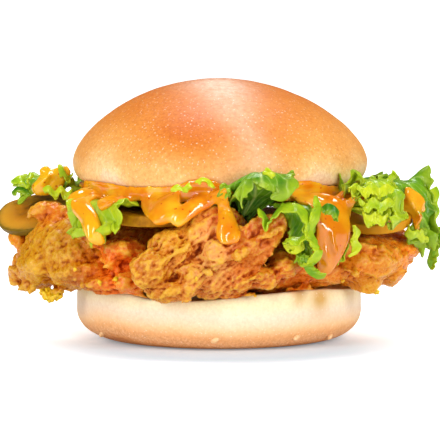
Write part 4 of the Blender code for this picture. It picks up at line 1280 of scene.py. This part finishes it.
def poured(name, runs, ground, extra=(), forwards=False):
    """Runs of sauce melted together in one smooth body."""
    builder = bmesh.new()
    for stations in runs:
        add_run(builder, stations, ground, forwards)
    for mesh in extra:
        builder.from_mesh(mesh)
    bmesh.ops.recalc_face_normals(builder, faces=builder.faces)
    mesh = bpy.data.meshes.new(name)
    builder.to_mesh(mesh)
    builder.free()
    sauce = placed(name, mesh)
    applied(sauce, "REMESH", mode="VOXEL", voxel_size=SAUCE_VOXEL)
    applied(sauce, "SMOOTH", iterations=6, factor=0.6)
    bpy.ops.object.shade_smooth()
    return sauce


def crown_radius(z):
    """How far the crust of the upper bun reaches out at this height, in metres."""
    if z > CROWN_EQUATOR_HEIGHT:
        share = min(1.0, (z - CROWN_EQUATOR_HEIGHT) / (BURGER_HEIGHT - CROWN_EQUATOR_HEIGHT))
        return BUN_RADIUS * (1 - share**1.6) ** 0.55
    drop = min(math.sin(math.radians(80)), (CROWN_EQUATOR_HEIGHT - z) / CROWN_UNDER)
    return CROWN_CUT_RADIUS + (BUN_RADIUS - CROWN_CUT_RADIUS) * math.sqrt(1 - drop * drop)


def sauce_band(tops):
    """Sauce that was pressed out round the bun's edge and stands up against its crust, up to these tops.

    The tops are given as (angle in degrees, height in millimetres).
    """
    builder = bmesh.new()
    rings = []
    first, last = tops[0][0], tops[-1][0]
    count = int((last - first) * 1.2)
    for i in range(count + 1):
        degrees = first + (last - first) * i / count
        top = np.interp(degrees, *zip(*tops)) * MM
        top += 0.3 * MM * noise.noise(Vector((degrees * 0.35, 0, 0)))
        angle = math.radians(degrees)
        outward = Vector((math.cos(angle), math.sin(angle), 0))
        swell = 1.5 + 0.6 * noise.noise(Vector((degrees * 0.12, 4, 0)))
        swell *= min(1.0, 0.25 + min(i, count - i) / 8)
        low = 50.6 * MM
        outer, inner = [], []
        for k in range(9):
            height = low + (top - low) * k / 8
            inside = max(SAUCE_RADIUS - 0.8 * MM, crown_radius(height) + 0.25 * MM)
            thick = swell * MM * math.sqrt(max(0.02, 1 - (2 * k / 8 - 1) ** 2))
            outer.append(builder.verts.new(outward * (inside + 0.3 * MM + thick) + Vector((0, 0, height))))
            inner.append(builder.verts.new(outward * inside + Vector((0, 0, height))))
        rings.append([*outer, *reversed(inner)])
    for a, b in zip(rings, rings[1:]):
        for k in range(len(a)):
            n = (k + 1) % len(a)
            builder.faces.new((a[k], a[n], b[n], b[k]))
    for ring in (rings[0], rings[-1]):
        builder.faces.new(ring)
    bmesh.ops.recalc_face_normals(builder, faces=builder.faces)
    mesh = bpy.data.meshes.new("band")
    builder.to_mesh(mesh)
    builder.free()
    return mesh


spread_outline = [
    (0, SAUCE_HIGH),
    (SAUCE_RADIUS - 1.2 * MM, SAUCE_HIGH),
    (SAUCE_RADIUS, (SAUCE_LOW + SAUCE_HIGH) / 2),
    (SAUCE_RADIUS - 1.2 * MM, SAUCE_LOW),
    (26 * MM, SAUCE_LOW),
    (24 * MM, 48.7 * MM),
    (0, 48.7 * MM),
]
spread = turned("spread", spread_outline, 80)
ground = surface_of([heel, fillet, *slices, *leaves])
sauce = poured("chilli_mayonnaise", SAUCE_RUNS, ground, [spread.data, *map(sauce_band, BAND_TOPS)])
bpy.data.objects.remove(spread)
# Where the sauce lies thin on a leaf it looks more yellow, and where it runs thick it is deeper
painted(sauce, "yellow", (((-43, -47, 42), 10, 0.6), ((-48, -30, 50), 8, 0.4), ((-20, -54, 48), 8, 0.2)))
painted(sauce, "deep", (((40, -50, 38), 12, 0.8), ((34, -50, 29), 7, 0.3), ((3, -57, 44), 9, 0.2)))
material, tree, shader = new_material("chilli_mayonnaise")
place = add_node(tree, "TexCoord").outputs["Object"]
creamy = add_node(
    tree, "TexNoise", {"Scale": feature(7), "Detail": 3.0, "Roughness": 0.5}, {"Vector": place}
)
tone = add_node(
    tree,
    "ValToRGB",
    {"stops": ((0.3, "#e47408"), (0.48, "#ec9410"), (0.66, "#f4b420"))},
    {0: creamy.outputs["Fac"]},
)
yellow = add_node(tree, "Attribute", {"attribute_name": "yellow"}).outputs["Fac"]
thin = add_node(
    tree, "Mix", {"data_type": "RGBA", 7: hex_colour("#f4c018")}, {0: yellow, 6: tone.outputs["Color"]}
)
deep = add_node(tree, "Attribute", {"attribute_name": "deep"}).outputs["Fac"]
thick = add_node(
    tree, "Mix", {"data_type": "RGBA", 7: hex_colour("#d87400")}, {0: deep, 6: thin.outputs[2]}
)
flecks = add_node(tree, "TexVoronoi", {"Scale": feature(2.6), "Randomness": 1.0}, {"Vector": place})
fleck_share = add_node(tree, "MapRange", {1: 0.17, 2: 0.1, 3: 0.0, 4: 0.75}, {0: flecks.outputs["Distance"]})
flecked = add_node(
    tree,
    "Mix",
    {"data_type": "RGBA", 7: hex_colour("#c8340a")},
    {0: fleck_share.outputs["Result"], 6: thick.outputs[2]},
)
tree.links.new(shader.inputs["Base Color"], flecked.outputs[2])
ripples = add_node(tree, "TexNoise", {"Scale": feature(5), "Detail": 1.0}, {"Vector": place})
bump = add_node(tree, "Bump", {"Strength": 0.35, "Distance": 0.7 * MM}, {"Height": ripples.outputs["Fac"]})
tree.links.new(shader.inputs["Normal"], bump.outputs["Normal"])
shader.inputs["Roughness"].default_value = 0.1
shader.inputs["Specular IOR Level"].default_value = 0.6
shader.inputs["Coat Weight"].default_value = 0.3
shader.inputs["Coat Roughness"].default_value = 0.05
shader.inputs["Subsurface Weight"].default_value = 0.25
shader.inputs["Subsurface Radius"].default_value = (1.0, 0.45, 0.12)
shader.inputs["Subsurface Scale"].default_value = 2 * MM
mayonnaise = material
sauce.data.materials.append(mayonnaise)
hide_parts("sauce")
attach(sauce, "root")
spots = []
for node, *runs in SAUCE_SPOTS:
    yellow = 0.75 if node == "sauce_far_left" else 0.1
    spot = poured(node.replace("sauce", "mayonnaise"), runs, ground, forwards=True)
    stored(spot.data, "yellow", [yellow] * len(spot.data.vertices))
    spot.data.materials.append(mayonnaise)
    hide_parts(node)
    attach(spot, "root")
    spots.append(spot)

# Curls, rolls and scraps of lettuce: the ragged rims of the leaves, that come out beside the sauce and over
# it. Thin, crisp and frilled like the leaves they belong to.

# Each as its path of (x, y, z), the way across it, and its darkness
CURLS = (
    (
        (
            *((12.7, -58, 49.9), (14.8, -58, 48.2), (16.5, -58, 45.4), (17.9, -58, 47.8), (20, -58, 50.3)),
            *((23.1, -58, 51.5), (26.6, -58, 51), (29.1, -58, 48.5), (30.1, -58, 45), (29.4, -58, 41.9)),
            *((27, -58, 40.2), (23.8, -58, 40.2), (21.4, -58, 38.4)),
        ),
        (-1.6, -4.2, -2.6),
        0.4,
    ),
    (
        (
            *((32.2, -55, 53.7), (33.8, -56, 50), (33, -57, 45.7), (31, -58, 42.3), (32.5, -58, 38.8)),
            *((34.3, -58, 36), (33.2, -58, 32.5), (30.1, -57, 30.4), (27.7, -57, 31.1)),
        ),
        (-3.4, -2.6, 0.4),
        0.3,
    ),
    (
        (
            *((-72.2, -6, 54.7), (-69.4, -6, 56.5), (-67, -6, 55)),
            *((-65.9, -6, 57.5), (-64.5, -6, 57)),
        ),
        (0, -3.4, -2.4),
        0.3,
    ),
    (((-56, -6, 60.2), (-54.4, -6, 58.6), (-52.9, -6, 56.4), (-51.5, -6, 57.6)), (0, -3, -2.6), 0.2),
    (((21.2, -57, 37), (23, -57.5, 34.8), (25.6, -57.5, 34.4), (28, -57, 35.8)), (0.4, -0.6, 4.2), -0.3),
    (((-71.9, -8, 50.9), (-70.1, -8, 52.6), (-67.3, -8, 52.2), (-65.4, -8, 50.2)), (0, -3, -1.8), 0.85),
    (
        (
            *((-61, -12, 52.6), (-59, -12, 53.6), (-56.9, -12, 51.6), (-54.8, -12, 53.4)),
            *((-52.7, -12.5, 51.4), (-50.9, -12.5, 52.6)),
        ),
        (0, -2.2, -2.8),
        0.1,
    ),
    (
        (
            *((66, -6, 49), (69, -5, 51), (71.2, -5, 52.4), (73.3, -5, 50.8), (75, -5, 52.6)),
            *((76, -5, 49.9), (75.2, -6, 46.9), (76, -6, 43.9), (74.4, -7, 41)),
        ),
        (-2.6, -3, -1.6),
        0.3,
    ),
    (
        (
            *((71.5, -12, 40), (74.2, -10, 37.5), (73.4, -9, 33.5), (72.2, -9, 29.5)),
            *((71.6, -9, 26.5), (72.8, -9, 24)),
        ),
        (3.4, -1, 0.4),
        0.55,
    ),
    (
        (
            *((64.5, -24, 40), (63.2, -24.5, 37.8), (65, -24, 36), (67.4, -22, 36.4)),
            *((69.2, -20, 34.4), (71.2, -18, 35)),
        ),
        (1.2, -1.2, 3.0),
        0.2,
    ),
    (
        (
            *((43.5, -44, 55), (46, -43, 57), (48, -42, 54.5), (50.5, -41, 57.4), (53, -40, 55.2)),
            *((55, -39, 52), (53.8, -40, 49), (56, -39, 46.4), (54.6, -39, 43)),
        ),
        (-2.6, -2.6, -2.4),
        0.1,
    ),
    (
        (
            *((46, -46, 57), (48.5, -46, 55.6), (51, -45, 57.2), (53.5, -44, 55.4)),
            *((56, -43, 56.8), (58.5, -41, 55.2)),
        ),
        (0, -1.6, -3.6),
        0.1,
    ),
    (
        (
            *((46.5, -47, 52.6), (49, -47, 51), (51.5, -46, 52.6), (54, -45.5, 50.8)),
            *((56.5, -44, 52.2), (58.6, -42, 50.6)),
        ),
        (0, -1.4, -3.8),
        0.2,
    ),
    (((48, -47, 48), (50, -47, 46.4), (52.5, -46, 47.8), (54.5, -45, 46), (56.5, -44, 47)), (0, -1.2, -3.8), 0.0),
    (((27.2, -56, 34), (27.6, -57, 31), (29.2, -57, 28), (32, -57, 26.2), (34, -56, 26)), (3, -1.5, 1.5), 0.45),
    (((-16.5, -54, 55.8), (-14.4, -54, 57.4), (-12.4, -54.5, 56.4), (-10.3, -54, 58), (-11.3, -54.5, 55)),
     (0.4, -1.6, -1.6), 0.05),
    (((-8.2, -54, 58.6), (-5.7, -54.5, 59.8), (-3.3, -54.5, 58.7), (-1.9, -54.5, 56.6)), (0, -1.4, -1.6), 0.1),
    (((13.4, -58.5, 58), (14.2, -58.5, 61), (15.2, -58, 63.4)), (3.4, -0.6, -1.2), 0.0),
    (((18.3, -53, 58.3), (21.1, -53, 60.2), (23.8, -53, 59.2), (26.4, -52.5, 57)), (0, -1.5, -2.6), 0.0),
    (
        (
            *((45.4, -45, 43), (47.4, -45, 40.6), (46.4, -45.5, 38), (47.8, -45.5, 35.8)),
            *((46.2, -46, 33.4), (44, -46.5, 32.4)),
        ),
        (-3.0, -0.8, -0.4),
        0.0,
    ),
    (
        (
            *((34.4, -55, 50.2), (36, -57, 51.4), (38.2, -57.6, 50.6), (39.6, -57, 48.6)),
            *((38.6, -56, 47),),
        ),
        (-0.8, -1.6, -3.4),
        0.9,
    ),
    (
        (
            *((62.1, -24, 46), (63.6, -24, 45.2), (63.4, -24, 43.4), (61.6, -24, 42.9)),
            *((60.6, -24, 44.2), (61.2, -24, 45.6)),
        ),
        (0, -2.2, 0),
        0.3,
    ),
)
CURL_ROWS, CURL_COLUMNS = 72, 10


def curl_points(path, across):
    """A strip of leaf along a path. Its far side is toothed and frilled, as the rim of a leaf is."""
    points = [Vector(place) * MM for place in path]
    across = Vector(across) * MM
    length = sum((b - a).length for a, b in zip(points, points[1:])) / MM
    verts, rims, veins = [], [], []
    for row in range(CURL_ROWS + 1):
        share = row / CURL_ROWS
        centre = through(points, share)
        tangent = (through(points, min(1, share + 0.03)) - through(points, max(0, share - 0.03))).normalized()
        facing = tangent.cross(across).normalized()
        taper = math.sqrt(max(0.02, min(1.0, 5 * share, 5 * (1 - share))))
        along = share * length
        for column in range(CURL_COLUMNS + 1):
            out = column / CURL_COLUMNS
            edge = smooth_step(0.4, 1.0, out)
            jitter = noise.noise(Vector((along * 0.3, out, path[0][0])))
            notch = 2 * abs((along / LEAF_TEETH + 2 * jitter) % 1 - 0.5)
            wide = out * taper + 0.28 * edge * (0.5 - notch)
            frill = 0.55 * edge * math.sin(math.tau * along / 4.2 + 4 * jitter)
            verts.append(centre + across * wide + facing * frill * MM)
            rims.append(edge)
            veins.append(0)
    return verts, rims, veins


curls = []
for number, (path, across, darkness) in enumerate(CURLS):
    verts, rims, veins = curl_points(path, across)
    around = [heel, fillet, *slices, *leaves, sauce, *spots]
    curl = laid_leaf(f"lettuce_curl_{number}", verts, rims, veins, darkness, around, CURL_COLUMNS)
    curls.append(curl)
bpy.ops.object.select_all(action="DESELECT")
for curl in curls:
    curl.select_set(True)
bpy.context.view_layer.objects.active = curls[0]
bpy.ops.object.join()
curls = bpy.context.object
curls.name = "lettuce_curls"
curls.data.materials.append(lettuce)
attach(curls, "root")

# The upper bun: the domed half. Its top was brushed and browned in the oven, and its rim, which touched
# the next bun, stayed pale. The crust is thin, satin and finely pored, with a few blisters.

CROWN_UNEVEN = 0.9 * MM

dome = BURGER_HEIGHT - CROWN_EQUATOR_HEIGHT
crown_outline = []
for i in range(61):
    height = CROWN_EQUATOR_HEIGHT + dome * (1 - (i / 61) ** 1.5)
    crown_outline.append((crown_radius(height), height))
for turn in range(0, 81, 5):
    height = CROWN_EQUATOR_HEIGHT - CROWN_UNDER * math.sin(math.radians(turn))
    crown_outline.append((crown_radius(height), height))
crown_outline += across_to(CROWN_CUT_RADIUS - 0.9 * MM, 0, CROWN_CUT_HEIGHT, 30)
crown = turned("upper_bun", crown_outline)
for v in crown.data.vertices:
    if v.co.z > CROWN_CUT_HEIGHT + 0.2 * MM:
        fade = smooth_step(CROWN_CUT_HEIGHT, CROWN_CUT_HEIGHT + 9 * MM, v.co.z)
        slow = CROWN_UNEVEN * noise.noise(v.co * UNEVEN_SCALE)
        fine = 0.1 * MM * noise.noise(v.co * feature(3.0))
        v.co += v.co.normalized() * (slow + fine) * fade
CROWN_BROWNING = (
    (0.0, "#fce0ba"),
    (0.05, "#fbd89a"),
    (0.14, "#f8c277"),
    (0.28, "#efa956"),
    (0.5, "#e5933c"),
    (0.72, "#da7c24"),
    (1.0, "#d46f20"),
)
crown_crust = bread_crust(
    "browned_bread_crust", CROWN_CUT_HEIGHT, BURGER_HEIGHT + 8 * MM, CROWN_BROWNING, 4 * MM, 0.45, 0.8, 0
)


def on_crust(x, z):
    """The place on the front of the upper bun at this x and height, in millimetres."""
    radius = crown_radius(z * MM) / MM
    return x, -math.sqrt(max(0.0, radius * radius - x * x)), z


painted(
    crown,
    "browned",
    (
        (on_crust(-12, 76), 12, 0.018),
        (on_crust(16, 74), 9, 0.009),
        (on_crust(-2, 66), 14, 0.006),
        (on_crust(24, 66), 12, 0.003),
        (on_crust(34, 60), 14, -0.005),
        (on_crust(-40, 62), 14, -0.004),
        ((30, 34, 72), 16, 0.008),
        ((-34, 26, 74), 16, 0.007),
        ((0, 42, 66), 14, -0.003),
    ),
)
# Painted highlight with flour dust: a pinkish white streak from the top down the front, and a faint patch at the
# back.
painted(
    crown,
    "dusted",
    (
        (on_crust(-1.5, 89), 11, 0.85),
        (on_crust(2.5, 86), 9, 0.55),
        (on_crust(5, 80), 7, 0.3),
        (on_crust(9, 74), 6, 0.26),
        (on_crust(12, 69), 6, 0.22),
        (on_crust(15, 64), 6, 0.22),
        (on_crust(6, 58), 9, 0.3),
        ((-6, 30, 84), 12, 0.4),
    ),
)
crown.data.materials.append(crown_crust)
crown.data.materials.append(crumb)
for face in crown.data.polygons:
    face.material_index = 1 if face.center.z < CROWN_CUT_HEIGHT + 0.1 * MM else 0
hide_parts("bun_crown")
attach(crown, "root")

# The table and the studio: a white sweep, one soft light above, a tall soft light on either side of the
# camera, and white all round.

bpy.ops.mesh.primitive_plane_add(size=6)
table = bpy.context.object
table.name = "white_table"
material, tree, shader = new_material("white_table")
shader.inputs["Roughness"].default_value = 0.9
seen = add_node(tree, "LightPath").outputs["Is Camera Ray"]
place = add_node(tree, "TexCoord").outputs["Object"]
# Painted shadow: in an oval round the burger's foot, the table seen by the camera is painted darker and bluer, and
# its glow is turned down.
offset = add_node(tree, "VectorMath", {"operation": "SUBTRACT", 1: (0.002, -0.032, 0)}, {0: place})
oval = add_node(tree, "VectorMath", {"operation": "MULTIPLY", 1: (1 / 0.066, 1 / 0.056, 0)}, {0: offset.outputs[0]})
away = add_node(tree, "VectorMath", {"operation": "LENGTH"}, {0: oval.outputs[0]})
evenly = add_node(
    tree, "MapRange", {"interpolation_type": "SMOOTHSTEP", 1: 0.55, 2: 1.2}, {0: away.outputs["Value"]}
)
unseen = add_node(tree, "Math", {"operation": "SUBTRACT", 0: 1.0}, {1: seen})
plain = add_node(tree, "Math", {"operation": "MAXIMUM"}, {0: evenly.outputs["Result"], 1: unseen.outputs[0]})
paper = add_node(
    tree,
    "Mix",
    {"data_type": "RGBA", 6: hex_colour("#ccdff0"), 7: hex_colour("#f6f6f6")},
    {0: plain.outputs[0]},
)
tree.links.new(shader.inputs["Base Color"], paper.outputs[2])
lit = add_node(tree, "MapRange", {3: 0.2, 4: 0.75}, {0: evenly.outputs["Result"]})
glow = add_node(tree, "Math", {"operation": "MULTIPLY"}, {0: seen, 1: lit.outputs["Result"]})
shader.inputs["Emission Color"].default_value = (1, 1, 1, 1)
tree.links.new(shader.inputs["Emission Strength"], glow.outputs[0])
table.data.materials.append(material)

TARGET = Vector((0, 0, 40.5 * MM))


def add_softbox(name, place, width, height, power):
    light = bpy.data.lights.new(name, "AREA")
    light.shape = "RECTANGLE"
    light.size = width
    light.size_y = height
    light.energy = power
    lamp = bpy.data.objects.new(name, light)
    bpy.context.scene.collection.objects.link(lamp)
    lamp.location = place
    lamp.rotation_euler = (TARGET - Vector(place)).to_track_quat("-Z", "Y").to_euler()


add_softbox("softbox_above", (0.03, 0.42, 1.0), 0.5, 0.4, 7.4)
add_softbox("softbox_left", (-0.82, -0.85, 0.5), 0.16, 0.9, 8.2)
add_softbox("softbox_right", (0.82, -0.85, 0.5), 0.16, 0.9, 8.2)
world = bpy.data.worlds.new("studio")
world.use_nodes = True
sky = world.node_tree
sky.nodes.clear()
path = add_node(sky, "LightPath")
strength = add_node(sky, "MapRange", {3: 0.44, 4: 1.1}, {0: path.outputs["Is Camera Ray"]})
dimmed = add_node(sky, "MapRange", {3: 1.0, 4: 0.15}, {0: path.outputs["Is Glossy Ray"]})
strength = add_node(
    sky, "Math", {"operation": "MULTIPLY"}, {0: strength.outputs["Result"], 1: dimmed.outputs["Result"]}
)
white = add_node(sky, "Background", {"Color": (1, 1, 1, 1)}, {"Strength": strength.outputs[0]})
add_node(sky, "OutputWorld", links={"Surface": white.outputs["Background"]})
bpy.context.scene.world = world
bpy.context.scene.view_settings.view_transform = "Standard"

DISTANCE = 1.4
ELEVATION = math.radians(5.3)
FRAME_WIDTH = 440 * 0.348 * MM
camera_data = bpy.data.cameras.new("camera")
camera_data.sensor_width = 36
camera_data.lens = 36 * DISTANCE / FRAME_WIDTH
camera = bpy.data.objects.new("camera", camera_data)
bpy.context.scene.collection.objects.link(camera)
camera.location = TARGET + Vector((0, -math.cos(ELEVATION), math.sin(ELEVATION))) * DISTANCE
camera.rotation_euler = (math.pi / 2 - ELEVATION, 0, 0)
bpy.context.scene.camera = camera
